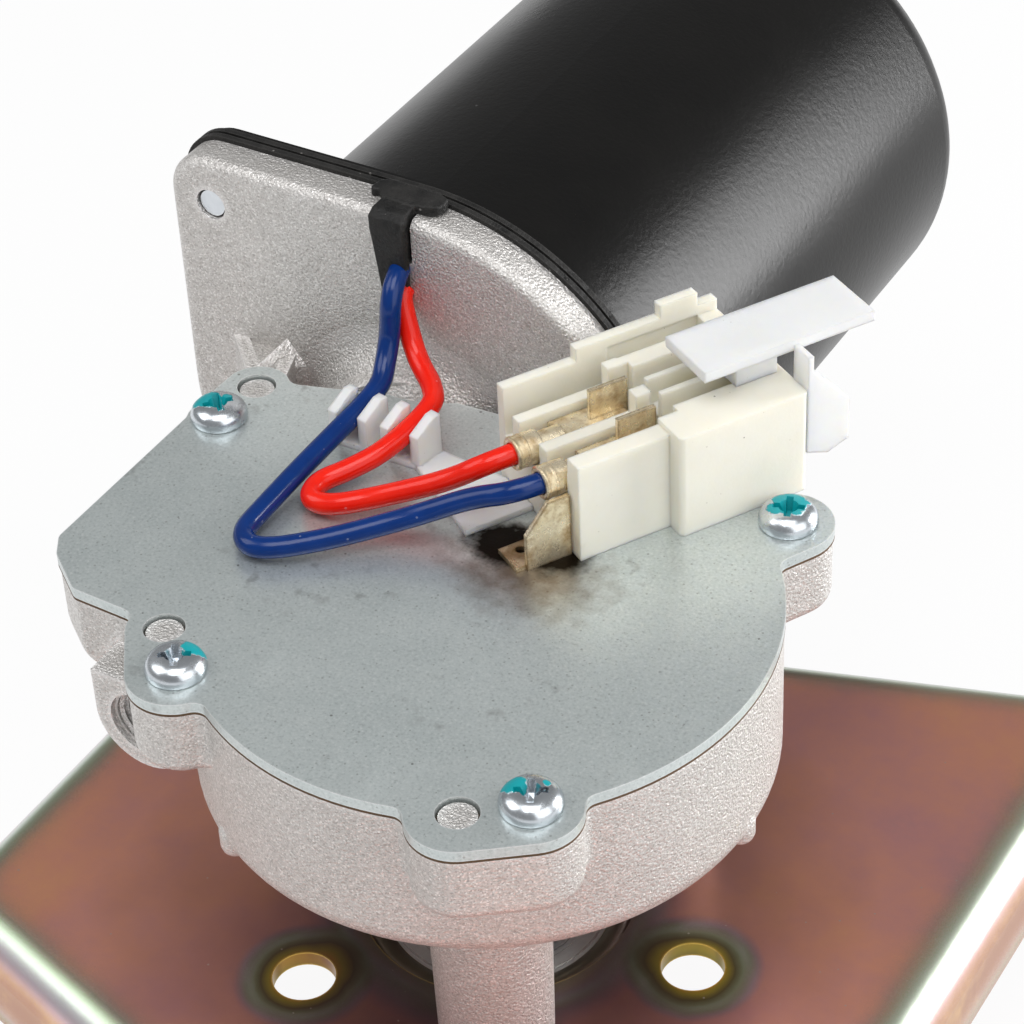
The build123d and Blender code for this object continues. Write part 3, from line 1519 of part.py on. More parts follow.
def make_leg_screws():
    """Three hexagon screws with washers, from under the plate into the legs."""
    washer_z = -plate_thickness - leg_washer_thickness
    with BuildPart() as leg_screws:
        with BuildSketch(Plane.XY.offset(washer_z)):
            with PolarLocations(leg_circle_radius, leg_count, start_angle=leg_start_angle):
                RegularPolygon(leg_head_across_flats / 2, 6, major_radius=False)
        extrude(amount=-leg_head_height)
        with BuildSketch(Plane.XY.offset(washer_z)):
            with PolarLocations(leg_circle_radius, leg_count, start_angle=leg_start_angle):
                Circle(leg_screw_radius)
        extrude(amount=leg_screw_length)
    finish(leg_screws.part, "leg_screws")

    with BuildPart() as leg_washers:
        with BuildSketch(Plane.XY.offset(washer_z)):
            with PolarLocations(leg_circle_radius, leg_count, start_angle=leg_start_angle):
                Circle(leg_washer_radius)
                Circle(leg_screw_radius + thread_clearance, mode=Mode.SUBTRACT)
        extrude(amount=leg_washer_thickness)
    finish(leg_washers.part, "leg_washers")


# Routes of the wires, from the grommet down through the comb and up to their terminals
wire_exit_height = grommet_bottom_z - cover_top_z
blue_route = [
    over_cover(-41.6, 41.0, wire_exit_height), over_cover(-41.6, 41.0, 19.0),
    over_cover(-41.8, 40.0, 13.6), over_cover(-40.6, 37.0, 9.8), over_cover(-39.5, 33.4, 7.6),
    over_cover(-42.0, 21.5, 4.9), over_cover(-42.9, 11.4, 3.6), over_cover(-43.2, 1.0, 2.7),
    over_cover(-43.0, -6.4, 2.5), over_cover(-38.2, -9.0, 2.5), over_cover(-29.0, -1.6, 2.9),
    over_cover(-17.0, 8.6, 5.4), over_cover(-8.6, 12.0, 9.8),
    connector_point(crimp_start - 5, blue_lane, terminal_height),
    connector_point(crimp_start + wire_in_crimp, blue_lane, terminal_height),
]
red_route = [
    over_cover(-41.4, 45.0, wire_exit_height), over_cover(-41.4, 45.0, 19.0),
    over_cover(-40.4, 43.6, 13.4), over_cover(-36.6, 40.6, 9.4), over_cover(-31.6, 37.4, 8.2),
    over_cover(-28.9, 33.4, 7.5), over_cover(-31.4, 21.5, 5.1), over_cover(-34.8, 15.0, 3.6),
    over_cover(-37.8, 9.0, 2.7), over_cover(-34.4, 6.0, 2.7), over_cover(-26.0, 12.0, 3.8),
    over_cover(-15.6, 16.0, 8.0),
    connector_point(crimp_start - 5, red_lane, terminal_height),
    connector_point(crimp_start + wire_in_crimp, red_lane, terminal_height),
]

make_gear_housing()
make_cover_plate()
make_cover_gasket()
make_cover_screws()
make_motor_can()
make_can_gasket()
make_can_screws()
make_wheel()
make_armature_shaft()
make_armature()
make_magnets()
make_brush_gear()
make_shaft_bearings()
make_output_parts()
make_park_switch()
make_wire_grommet()
make_wire_comb()
make_connector_housing()
make_connector_latch()
make_terminal(blue_lane, "terminal_blue")
make_terminal(red_lane, "terminal_red")
make_contact_blade()
make_wire(blue_route, "wire_blue")
make_wire(red_route, "wire_red")
make_bracket()
make_leg_screws()
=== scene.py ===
# %% [markdown]
# # A wiper motor, dressed for its picture
#
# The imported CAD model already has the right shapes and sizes, in metres, in one frame:
# the origin lies on the output axis in the bracket's top face, +Z points up to the cover and
# +Y runs along the motor. Here each CAD node gets a finish, and the pieces that a rigid solid
# can't show well, such as the wires, the rubber and the crimps, are modelled again over it.
# Lengths are written in millimetres and multiplied by mm, because Blender's unit is the metre.

import math

import bmesh
import bpy
from mathutils import Matrix, Vector


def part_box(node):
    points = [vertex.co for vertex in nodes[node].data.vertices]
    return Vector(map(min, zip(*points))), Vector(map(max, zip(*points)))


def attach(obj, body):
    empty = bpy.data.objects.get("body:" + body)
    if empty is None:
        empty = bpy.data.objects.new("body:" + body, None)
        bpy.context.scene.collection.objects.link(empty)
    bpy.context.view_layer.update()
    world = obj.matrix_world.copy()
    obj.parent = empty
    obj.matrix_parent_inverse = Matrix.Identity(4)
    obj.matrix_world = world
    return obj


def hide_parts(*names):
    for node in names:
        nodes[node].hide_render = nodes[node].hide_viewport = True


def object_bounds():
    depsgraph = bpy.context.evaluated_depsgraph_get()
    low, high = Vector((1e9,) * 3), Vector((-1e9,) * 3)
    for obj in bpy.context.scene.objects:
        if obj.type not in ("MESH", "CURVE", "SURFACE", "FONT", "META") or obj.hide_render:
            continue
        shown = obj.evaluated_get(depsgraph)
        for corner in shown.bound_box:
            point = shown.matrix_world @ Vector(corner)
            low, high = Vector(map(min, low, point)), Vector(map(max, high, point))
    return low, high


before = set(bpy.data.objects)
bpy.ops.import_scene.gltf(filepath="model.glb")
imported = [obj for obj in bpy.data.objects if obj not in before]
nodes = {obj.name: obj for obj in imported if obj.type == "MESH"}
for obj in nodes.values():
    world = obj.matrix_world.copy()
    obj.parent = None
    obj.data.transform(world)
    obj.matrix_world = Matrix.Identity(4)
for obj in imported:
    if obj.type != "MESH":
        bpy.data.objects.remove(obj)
cad_low, cad_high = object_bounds()
scene = bpy.context.scene
mm = 0.001
print("CAD nodes:", len(nodes), "box:", [round(x, 3) for x in (*cad_low, *cad_high)])

# %% [markdown]
# ## The camera
#
# The photograph looks down on the cover from the front right with a long lens. The view was
# found by matching screws, holes and rims in the picture to their places in the model, so the
# camera is given by where it stands, where it looks and its focal length in pixels. A camera
# could also track an empty, but then its small roll would be harder to set.

# %% Camera at the photograph's place
picture_size = 1024
focal_pixels = 3126.8
camera_place = Vector((212.6, -326.8, 395.1)) * mm
camera_azimuth = math.radians(32.2)
camera_tilt = math.radians(38.5)
camera_roll = math.radians(-3.0)

forward = Vector((
    -math.sin(camera_azimuth) * math.cos(camera_tilt),
    math.cos(camera_azimuth) * math.cos(camera_tilt),
    -math.sin(camera_tilt),
))
level = Vector((math.cos(camera_azimuth), math.sin(camera_azimuth), 0))
upward = level.cross(forward)
across = math.cos(camera_roll) * level + math.sin(camera_roll) * upward
upward = across.cross(forward)

camera = bpy.data.objects.new("photo_camera", bpy.data.cameras.new("photo_camera"))
scene.collection.objects.link(camera)
camera.matrix_world = Matrix.Translation(camera_place) @ Matrix(
    (across, upward, -forward)
).transposed().to_4x4()
camera.data.lens = camera.data.sensor_width * focal_pixels / picture_size
camera.data.clip_start = 0.01
scene.camera = camera
scene.view_settings.view_transform = "Standard"

# %% [markdown]
# ## Floor and light
#
# The real shot stands on white. The floor is a plain pale plane that keeps the object's
# shadow, and a share of plain white is mixed in only where the camera or a reflection sees it.
# Soft boxes do the rest: a broad one at the right front lights the case, a weaker one at the
# left and one overhead fill in, and one low at the right behind makes the broad grey band on
# the black can.

# %% Stage
floor_drop = 1.0 * mm
floor_reach = 6.0
floor_white_share = 0.92


def link_object(name, data):
    """Add an object that holds the given data to the scene."""
    made = bpy.data.objects.new(name, data)
    scene.collection.objects.link(made)
    return made


def add_node(tree, kind, values=None, **settings):
    """Add a shader node, set its properties and fill its sockets with values or links."""
    made = tree.nodes.new(kind)
    for name, value in settings.items():
        setattr(made, name, value)
    for name, value in (values or {}).items():
        if isinstance(value, bpy.types.NodeSocket):
            tree.links.new(value, made.inputs[name])
        else:
            made.inputs[name].default_value = value
    return made


floor_mesh = bpy.data.meshes.new("floor")
floor_bm = bmesh.new()
bmesh.ops.create_grid(floor_bm, x_segments=2, y_segments=2, size=floor_reach)
bmesh.ops.translate(floor_bm, verts=floor_bm.verts, vec=(0, 0, cad_low.z - floor_drop))
floor_bm.to_mesh(floor_mesh)
floor_bm.free()
floor = link_object("floor", floor_mesh)

floor_paint = bpy.data.materials.new("floor_paint")
floor_paint.use_nodes = True
tree = floor_paint.node_tree
tree.nodes.clear()
chalk = add_node(tree, "ShaderNodeBsdfDiffuse", {"Color": (0.82, 0.82, 0.82, 1)})
white = add_node(tree, "ShaderNodeEmission", {"Color": (1, 1, 1, 1), "Strength": 1.0})
rays = add_node(tree, "ShaderNodeLightPath")
seen = add_node(
    tree, "ShaderNodeMath",
    {0: rays.outputs["Is Camera Ray"], 1: rays.outputs["Is Glossy Ray"]}, operation="MAXIMUM",
)
seen = add_node(
    tree, "ShaderNodeMath",
    {0: seen.outputs[0], 1: rays.outputs["Is Transmission Ray"]}, operation="MAXIMUM",
)
share = add_node(
    tree, "ShaderNodeMath", {0: seen.outputs[0], 1: floor_white_share}, operation="MULTIPLY"
)
mixed = add_node(
    tree, "ShaderNodeMixShader",
    {0: share.outputs[0], 1: chalk.outputs[0], 2: white.outputs[0]},
)
add_node(tree, "ShaderNodeOutputMaterial", {"Surface": mixed.outputs[0]})
floor_mesh.materials.append(floor_paint)

# %% Soft boxes
soft_boxes = {
    "right_front": {"toward": (0.90, -0.30, 0.50), "reach": 1.0, "size": (0.9, 0.9), "watt": 4.0},
    "left_front": {"toward": (-0.60, -0.38, 0.72), "reach": 1.0, "size": (0.6, 0.6), "watt": 3.2},
    "right_rear": {"toward": (0.74, 0.72, 0.10), "reach": 1.0, "size": (0.35, 0.8), "watt": 12.5},
    "overhead": {"toward": (0.15, -0.30, 0.95), "reach": 1.0, "size": (0.6, 0.6), "watt": 5.2},
}
aim = Vector((0, 30, 50)) * mm
world_strength = 0.30
for name, box in soft_boxes.items():
    lamp = bpy.data.lights.new(name, "AREA")
    lamp.shape = "RECTANGLE"
    lamp.size, lamp.size_y = box["size"]
    lamp.energy = box["watt"]
    holder = link_object(name, lamp)
    toward = Vector(box["toward"]).normalized()
    holder.location = aim + toward * box["reach"]
    holder.rotation_euler = toward.to_track_quat("Z", "Y").to_euler()

world = bpy.data.worlds.new("studio")
world.use_nodes = True
world.node_tree.nodes["Background"].inputs["Color"].default_value = (1, 1, 1, 1)
world.node_tree.nodes["Background"].inputs["Strength"].default_value = world_strength
scene.world = world
print("soft boxes:", list(soft_boxes))

# %% [markdown]
# ## Building blocks for finishes
#
# Every finish is made of the same few effects: fine grain, soft mottling, specks, an edge mask
# for wear and for painted edge highlights, dabs and stains. Each effect is a node group with
# named inputs, made once, so that a material only says how coarse or how strong it is. All of
# them read object coordinates in metres, because the CAD nodes have no UV map and stand still in
# their own space.

# %% A helper that makes node groups
def make_group(name, inputs, outputs):
    """Start a shader node group with named sockets and return its tree and end nodes."""
    group = bpy.data.node_groups.new(name, "ShaderNodeTree")
    kinds = {"value": "NodeSocketFloat", "vector": "NodeSocketVector", "colour": "NodeSocketColor"}
    for socket_name, (kind, default) in inputs.items():
        socket = group.interface.new_socket(socket_name, in_out="INPUT", socket_type=kinds[kind])
        if default is not None:
            socket.default_value = default
    for socket_name, kind in outputs.items():
        group.interface.new_socket(socket_name, in_out="OUTPUT", socket_type=kinds[kind])
    start = group.nodes.new("NodeGroupInput")
    end = group.nodes.new("NodeGroupOutput")
    return group, start, end


def calculate(tree, operation, a, b=0.0, clamp=False):
    """One math node, as a socket."""
    return add_node(
        tree, "ShaderNodeMath", {0: a, 1: b}, operation=operation, use_clamp=clamp
    ).outputs[0]


def spread(tree, value, low, high, to_low=0.0, to_high=1.0):
    """Stretch a value's range from low and high to new ends, clamped."""
    return add_node(
        tree, "ShaderNodeMapRange",
        {"Value": value, "From Min": low, "From Max": high, "To Min": to_low, "To Max": to_high},
        clamp=True,
    ).outputs[0]


# %% Grain: the pebbled skin of a sand casting, of paint or of rubber
grain, start, end = make_group(
    "grain",
    {"Position": ("vector", None), "Size": ("value", 0.0005), "Pits": ("value", 0.5)},
    {"Height": "value", "Tone": "value", "Facet": "value"},
)
per_metre = calculate(grain, "DIVIDE", 1.0, start.outputs["Size"])
pebbles = add_node(
    grain, "ShaderNodeTexNoise",
    {"Vector": start.outputs["Position"], "Scale": per_metre, "Detail": 3.0, "Roughness": 0.6},
)
cells = add_node(
    grain, "ShaderNodeTexVoronoi",
    {"Vector": start.outputs["Position"], "Scale": calculate(grain, "MULTIPLY", per_metre, 0.7)},
    feature="SMOOTH_F1",
)
pits = spread(grain, cells.outputs["Distance"], 0.1, 0.6)
pits = calculate(grain, "MULTIPLY", pits, start.outputs["Pits"])
height = calculate(grain, "ADD", pebbles.outputs["Fac"], pits)
grain.links.new(height, end.inputs["Height"])
grain.links.new(spread(grain, pebbles.outputs["Fac"], 0.3, 0.7), end.inputs["Tone"])
facets = add_node(
    grain, "ShaderNodeTexVoronoi",
    {"Vector": start.outputs["Position"], "Scale": calculate(grain, "MULTIPLY", per_metre, 1.3)},
)
facet_luck = add_node(grain, "ShaderNodeSeparateColor", {"Color": facets.outputs["Color"]})
grain.links.new(facet_luck.outputs["Red"], end.inputs["Facet"])

# %% Mottle: soft clouds, and specks: sparse small dots
mottle, start, end = make_group(
    "mottle",
    {"Position": ("vector", None), "Size": ("value", 0.01), "Contrast": ("value", 0.5)},
    {"Value": "value"},
)
clouds = add_node(
    mottle, "ShaderNodeTexNoise",
    {"Vector": start.outputs["Position"], "Detail": 6.0, "Roughness": 0.62,
     "Scale": calculate(mottle, "DIVIDE", 1.0, start.outputs["Size"])},
)
half_band = calculate(mottle, "MULTIPLY", start.outputs["Contrast"], 0.5)
half_band = calculate(mottle, "SUBTRACT", 0.55, half_band)
low = calculate(mottle, "SUBTRACT", 0.5, half_band)
high = calculate(mottle, "ADD", 0.5, half_band)
mottle.links.new(spread(mottle, clouds.outputs["Fac"], low, high), end.inputs["Value"])

specks, start, end = make_group(
    "specks",
    {"Position": ("vector", None), "Spacing": ("value", 0.004), "Size": ("value", 0.0004),
     "Share": ("value", 0.5)},
    {"Mask": "value"},
)
per_spacing = calculate(specks, "DIVIDE", 1.0, start.outputs["Spacing"])
dots = add_node(
    specks, "ShaderNodeTexVoronoi", {"Vector": start.outputs["Position"], "Scale": per_spacing}
)
luck = add_node(specks, "ShaderNodeSeparateColor", {"Color": dots.outputs["Color"]})
chosen = calculate(specks, "LESS_THAN", luck.outputs["Red"], start.outputs["Share"])
radius = calculate(
    specks, "MULTIPLY", calculate(specks, "MULTIPLY", start.outputs["Size"], per_spacing),
    calculate(specks, "ADD", luck.outputs["Green"], 0.3),
)
dot = calculate(specks, "LESS_THAN", dots.outputs["Distance"], radius)
specks.links.new(calculate(specks, "MULTIPLY", dot, chosen), end.inputs["Mask"])

# %% Edge mask: where a rounded normal differs from the flat one, for wear and for painted edge highlights
worn_edge, start, end = make_group(
    "worn_edge", {"Radius": ("value", 0.0006), "Strength": ("value", 1.0)}, {"Mask": "value"}
)
rounded = add_node(worn_edge, "ShaderNodeBevel", {"Radius": start.outputs["Radius"]}, samples=4)
surface = add_node(worn_edge, "ShaderNodeNewGeometry")
sameness = add_node(
    worn_edge, "ShaderNodeVectorMath",
    {0: rounded.outputs["Normal"], 1: surface.outputs["Normal"]}, operation="DOT_PRODUCT",
)
edge = spread(worn_edge, sameness.outputs["Value"], 0.995, 0.8)
edge = calculate(worn_edge, "MULTIPLY", edge, start.outputs["Strength"])
worn_edge.links.new(edge, end.inputs["Mask"])

# %% A blot: a patch round one point with a ragged rim, for stains, paint, film halos and painted shade
blot, start, end = make_group(
    "blot",
    {"Position": ("vector", None), "Centre": ("vector", None), "Stretch": ("vector", (1, 1, 1)),
     "Radius": ("value", 0.005), "Rim": ("value", 0.3), "Ragged": ("value", 0.3),
     "Ragged Size": ("value", 0.002)},
    {"Mask": "value"},
)
away = start.outputs["Position"]
for operation, name in (("SUBTRACT", "Centre"), ("MULTIPLY", "Stretch")):
    away = add_node(
        blot, "ShaderNodeVectorMath", {0: away, 1: start.outputs[name]}, operation=operation
    ).outputs[0]
distance = add_node(blot, "ShaderNodeVectorMath", {0: away}, operation="LENGTH")
ripple = add_node(
    blot, "ShaderNodeTexNoise",
    {"Vector": start.outputs["Position"], "Detail": 4.0,
     "Scale": calculate(blot, "DIVIDE", 1.0, start.outputs["Ragged Size"])},
)
ripple = calculate(blot, "SUBTRACT", ripple.outputs["Fac"], 0.5)
ripple = calculate(blot, "MULTIPLY", ripple, start.outputs["Ragged"])
share = calculate(blot, "DIVIDE", distance.outputs["Value"], start.outputs["Radius"])
share = calculate(blot, "ADD", share, ripple)
inner = calculate(blot, "SUBTRACT", 1.0, start.outputs["Rim"])
blot.links.new(spread(blot, share, 1.0, inner), end.inputs["Mask"])
print("node groups:", [g.name for g in bpy.data.node_groups])


# %% A finish: the material, its tree and small helpers to fill it
class Finish:
    """One material under construction, with its Principled shader at hand."""

    def __init__(self, name, **values):
        self.material = bpy.data.materials.new(name)
        self.material.use_nodes = True
        self.tree = self.material.node_tree
        self.shader = self.tree.nodes["Principled BSDF"]
        self.position = self.add("ShaderNodeTexCoord").outputs["Object"]
        self.heights = []
        for socket, value in values.items():
            self.shader.inputs[socket.replace("_", " ")].default_value = value

    def add(self, kind, values=None, **settings):
        return add_node(self.tree, kind, values, **settings)

    def effect(self, group, **values):
        """Place a node group, fill in its Position if it has one, and return its outputs."""
        made = self.tree.nodes.new("ShaderNodeGroup")
        made.node_tree = group
        if "Position" in made.inputs and "Position" not in values:
            self.tree.links.new(self.position, made.inputs["Position"])
        for name, value in values.items():
            socket = made.inputs[name.replace("_", " ")]
            if isinstance(value, bpy.types.NodeSocket):
                self.tree.links.new(value, socket)
            else:
                socket.default_value = value
        return made.outputs

    def mix(self, share, a, b):
        """Mix two colours by a share."""
        made = self.add("ShaderNodeMix", data_type="RGBA")
        for index, value in ((0, share), (6, a), (7, b)):
            if isinstance(value, bpy.types.NodeSocket):
                self.tree.links.new(value, made.inputs[index])
            else:
                made.inputs[index].default_value = value if index == 0 else (*value, 1)
        return made.outputs[2]

    def lay(self, colour, paint, mask, share):
        """Lay a paint over a colour where a mask says so, as thickly as its share."""
        return self.mix(self.math("MULTIPLY", mask, share), colour, paint)

    def blend(self, share, a, b):
        """Mix two plain numbers by a share."""
        made = self.add("ShaderNodeMix", data_type="FLOAT")
        for index, value in ((0, share), (2, a), (3, b)):
            if isinstance(value, bpy.types.NodeSocket):
                self.tree.links.new(value, made.inputs[index])
            else:
                made.inputs[index].default_value = value
        return made.outputs[0]

    def math(self, operation, a, b=0.0, clamp=False):
        return calculate(self.tree, operation, a, b, clamp)

    def noise(self, size, detail=4.0, stretch=None, roughness=0.5):
        """Noise of a given feature size in metres, stretched along the axes if asked."""
        vector = self.position
        if stretch:
            vector = self.add(
                "ShaderNodeVectorMath", {0: vector, 1: stretch}, operation="MULTIPLY"
            ).outputs[0]
        return self.add(
            "ShaderNodeTexNoise",
            {"Vector": vector, "Scale": 1 / size, "Detail": detail, "Roughness": roughness},
        ).outputs["Fac"]

    def spread(self, value, low, high, to_low=0.0, to_high=1.0):
        return spread(self.tree, value, low, high, to_low, to_high)

    def set(self, **sockets):
        for name, socket in sockets.items():
            self.tree.links.new(socket, self.shader.inputs[name.replace("_", " ")])

    def bump(self, height, depth, strength=1.0):
        """Add a bump of a given depth in metres on top of those before it."""
        values = {"Height": height, "Distance": depth, "Strength": strength}
        if self.heights:
            values["Normal"] = self.heights[-1]
        made = self.add("ShaderNodeBump", values)
        self.heights.append(made.outputs["Normal"])
        self.tree.links.new(made.outputs["Normal"], self.shader.inputs["Normal"])

    def soften(self, radius):
        """Round sharp edges in the shading, before any bump."""
        made = self.add("ShaderNodeBevel", {"Radius": radius}, samples=4)
        self.heights.append(made.outputs["Normal"])
        self.tree.links.new(made.outputs["Normal"], self.shader.inputs["Normal"])

    def coat(self, *names):
        """Give this finish to CAD nodes."""
        for name in names:
            mesh = nodes[name].data
            mesh.materials.clear()
            mesh.materials.append(self.material)


# %% [markdown]
# ## Cast aluminium
#
# The gear case is a sand-like die casting: warm light grey, with a pebbled skin that sparkles
# where a grain happens to face the light. High metallic with a strong fine bump gives part of the
# sparkle, and random grains are painted near white as a painted glint. Edges are painted brighter,
# partly as wear and partly as a painted highlight.

# %% Cast aluminium for the gear case
cast = Finish("cast_aluminium", Metallic=0.75)
skin = cast.effect(grain, Size=0.00036, Pits=0.5)
swell = cast.effect(mottle, Size=0.014, Contrast=0.4)
rubbed = cast.effect(worn_edge, Radius=0.0026, Strength=0.75)
colour = cast.mix(swell["Value"], (0.50, 0.48, 0.46), (0.62, 0.60, 0.58))
colour = cast.lay(colour, (0.80, 0.78, 0.76), skin["Tone"], 0.5)
darks = cast.spread(skin["Facet"], 0.30, 0.0, 0.0, 0.45)
# Random grains painted near white: a painted glint for grains that face the light.
painted_glints = cast.spread(skin["Facet"], 0.78, 1.0, 0.0, 0.7)
colour = cast.mix(darks, colour, (0.25, 0.225, 0.21))
colour = cast.mix(painted_glints, colour, (0.97, 0.95, 0.93))
# Edges painted near white: partly wear, partly a painted highlight on the rounded edges.
colour = cast.mix(rubbed["Mask"], colour, (0.93, 0.91, 0.90))
cast.set(
    Base_Color=colour,
    Roughness=cast.spread(skin["Facet"], 0.0, 1.0, 0.52, 0.34),
)
cast.bump(skin["Height"], 0.00024)
cast.coat("gear_housing")

# %% [markdown]
# ## Galvanised cover
#
# The cover is a stamped zinc-coated sheet, grey with a touch of green: cloudy, with tiny dark
# specks and faint smears; its few hair scratches are not drawn. Soot and molten plastic have
# left a brown to black stain under the bare contact blade and along the connector's foot.

# %% Galvanised sheet with the burnt patch
blade_low, blade_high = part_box("contact_blade")
burn_place = (blade_low + blade_high) / 2 - Vector((1.5 * mm, 0, 0))
burn_place.z = blade_low.z

sheet = Finish("galvanised_sheet")
clouds = sheet.effect(mottle, Size=0.013, Contrast=0.55)
patches = sheet.effect(mottle, Size=0.0045, Contrast=0.5)
fine = sheet.effect(mottle, Size=0.00055, Contrast=0.7)
dots = sheet.effect(specks, Spacing=0.0034, Size=0.00022, Share=0.3)
dust = sheet.effect(specks, Spacing=0.0010, Size=0.00017, Share=0.5)
cut = sheet.effect(worn_edge, Radius=0.0004, Strength=0.9)
colour = sheet.mix(clouds["Value"], (0.49, 0.545, 0.545), (0.595, 0.645, 0.64))
colour = sheet.lay(colour, (0.63, 0.66, 0.65), patches["Value"], 0.28)
colour = sheet.mix(sheet.spread(fine["Value"], 0.42, 0.0, 0.0, 0.5), colour, (0.30, 0.335, 0.335))
colour = sheet.mix(sheet.spread(fine["Value"], 0.58, 1.0, 0.0, 0.5), colour, (0.76, 0.785, 0.78))
colour = sheet.lay(colour, (0.12, 0.12, 0.11), dots["Mask"], 0.7)
colour = sheet.lay(colour, (0.18, 0.19, 0.18), dust["Mask"], 0.45)
smudges = sheet.math(
    "MULTIPLY", sheet.spread(sheet.noise(0.0035, 6.0), 0.58, 0.70),
    sheet.spread(sheet.noise(0.021, 2.0), 0.54, 0.66),
)
colour = sheet.lay(colour, (0.20, 0.205, 0.20), smudges, 0.5)
# Edges painted light: partly bare cut metal, partly a painted highlight along the rims and folds.
colour = sheet.mix(cut["Mask"], colour, (0.82, 0.84, 0.84))
smear = sheet.spread(sheet.noise(0.006, 5.0, (1.0, 0.35, 1.0)), 0.56, 0.74)
brown = sheet.effect(
    blot, Centre=burn_place + Vector((3.6, -3.4, 0)) * mm, Stretch=(0.9, 1.15, 1.0),
    Radius=0.0150, Rim=0.85, Ragged=1.0, Ragged_Size=0.0035,
)
black = sheet.effect(
    blot, Centre=burn_place + Vector((-3.4, 1.4, 0)) * mm, Stretch=(0.8, 1.1, 1.0),
    Radius=0.0074, Rim=0.38, Ragged=0.55, Ragged_Size=0.0022,
)
soot = sheet.effect(
    blot, Centre=burn_place + Vector((5.2, 3.0, 0)) * mm, Stretch=(1.0, 1.0, 1.0),
    Radius=0.0068, Rim=0.5, Ragged=0.6, Ragged_Size=0.0018,
)
dark = sheet.math("MAXIMUM", black["Mask"], soot["Mask"])
colour = sheet.lay(colour, (0.11, 0.062, 0.022), brown["Mask"], 0.78)
colour = sheet.lay(colour, (0.008, 0.0045, 0.002), dark, 0.98)
burnt = sheet.math("MAXIMUM", dark, sheet.math("MULTIPLY", brown["Mask"], 0.35))
gloss = sheet.blend(smear, 0.30, 0.40)
sheet.set(
    Base_Color=colour,
    Metallic=sheet.blend(burnt, 0.64, 1.0),
    Roughness=sheet.blend(burnt, gloss, 0.5),
)
sheet.bump(fine["Value"], 0.000015)
sheet.bump(clouds["Value"], 0.00005)
sheet.coat("cover_plate")

# %% [markdown]
# ## Paper gasket, zinc screws, paint and rubber
#
# The gasket is brown paper that shows only as a dark line under the cover, so its fibres are
# noise squashed along Z. Zinc plating is a bright metal whose roughness drifts in soft clouds.
# The can's paint is nearly black with an orange-peel bump, which breaks up its broad
# reflection. Rubber is as dark, but dull, and dust gathers on it. A photograph of each could be
# wrapped on as a texture, but these need no picture and stay sharp at any distance.

# %% Gasket paper under the cover
paper = Finish("gasket_paper", Roughness=0.85)
fibres = paper.noise(0.0008, 5.0, (1.0, 1.0, 3.0))
paper.set(Base_Color=paper.mix(fibres, (0.045, 0.025, 0.012), (0.16, 0.095, 0.05)))
paper.bump(fibres, 0.00006)
paper.coat("cover_gasket")


# %% Zinc plating for small parts
def zinc_finish(name, tint_low, tint_high, roughness=0.24):
    """Bright plating with soft clouds, rubbed edges and faint pores."""
    zinc = Finish(name, Metallic=1.0)
    clouds = zinc.effect(mottle, Size=0.003, Contrast=0.5)
    rubbed = zinc.effect(worn_edge, Radius=0.0003, Strength=0.6)
    colour = zinc.mix(clouds["Value"], tint_low, tint_high)
    colour = zinc.mix(rubbed["Mask"], colour, (0.86, 0.87, 0.88))
    pores = zinc.effect(specks, Spacing=0.0012, Size=0.00012, Share=0.4)
    colour = zinc.lay(colour, (0.2, 0.21, 0.22), pores["Mask"], 0.5)
    zinc.set(
        Base_Color=colour,
        Roughness=zinc.spread(clouds["Value"], 0.0, 1.0, roughness, roughness + 0.12),
    )
    zinc.bump(clouds["Value"], 0.00002)
    return zinc


bright_zinc = zinc_finish("bright_zinc", (0.58, 0.61, 0.65), (0.74, 0.77, 0.80))
bright_zinc.coat("cover_screws", "can_screws")

# %% Satin black paint on the can
can_paint = Finish("satin_black", Specular_IOR_Level=0.22)
peel = can_paint.effect(grain, Size=0.0011, Pits=0.1)
handling = can_paint.effect(mottle, Size=0.03, Contrast=0.45)
chips = can_paint.effect(specks, Spacing=0.009, Size=0.00025, Share=0.25)
colour = can_paint.mix(handling["Value"], (0.0025, 0.0025, 0.0025), (0.006, 0.0055, 0.005))
colour = can_paint.lay(colour, (0.10, 0.10, 0.10), chips["Mask"], 0.6)
can_paint.set(
    Base_Color=colour,
    Roughness=can_paint.spread(handling["Value"], 0.0, 1.0, 0.25, 0.33),
)
can_paint.bump(peel["Height"], 0.00005)
can_paint.coat("motor_can")


# %% Rubber for the can's seal and the grommet
def rubber_finish(name):
    """Matt black rubber with a dry bloom and specks of dust."""
    rubber = Finish(name, Specular_IOR_Level=0.3)
    skin = rubber.effect(grain, Size=0.0006, Pits=0.3)
    bloom = rubber.effect(mottle, Size=0.004, Contrast=0.75)
    lint = rubber.effect(specks, Spacing=0.0016, Size=0.00018, Share=0.4)
    rubbed = rubber.effect(worn_edge, Radius=0.0005, Strength=0.5)
    colour = rubber.mix(bloom["Value"], (0.004, 0.004, 0.004), (0.020, 0.019, 0.018))
    colour = rubber.mix(rubbed["Mask"], colour, (0.06, 0.058, 0.055))
    colour = rubber.lay(colour, (0.22, 0.21, 0.20), lint["Mask"], 0.7)
    rubber.set(
        Base_Color=colour,
        Roughness=rubber.spread(bloom["Value"], 0.0, 1.0, 0.42, 0.7),
    )
    rubber.bump(skin["Height"], 0.00014)
    rubber.bump(bloom["Value"], 0.0003)
    return rubber


black_rubber = rubber_finish("black_rubber")
black_rubber.coat("can_gasket", "wire_grommet")


# %% [markdown]
# ## Nylon
#
# The connector is ivory nylon, the comb a white one and the latch a white one that is clearer.
# Light goes a little way into it, so thin walls glow and corners look soft. Principled's
# subsurface does that, and the white ones also let a share of the light through. A few dark
# specks and a brown tinge near the burnt spot keep it from looking new.

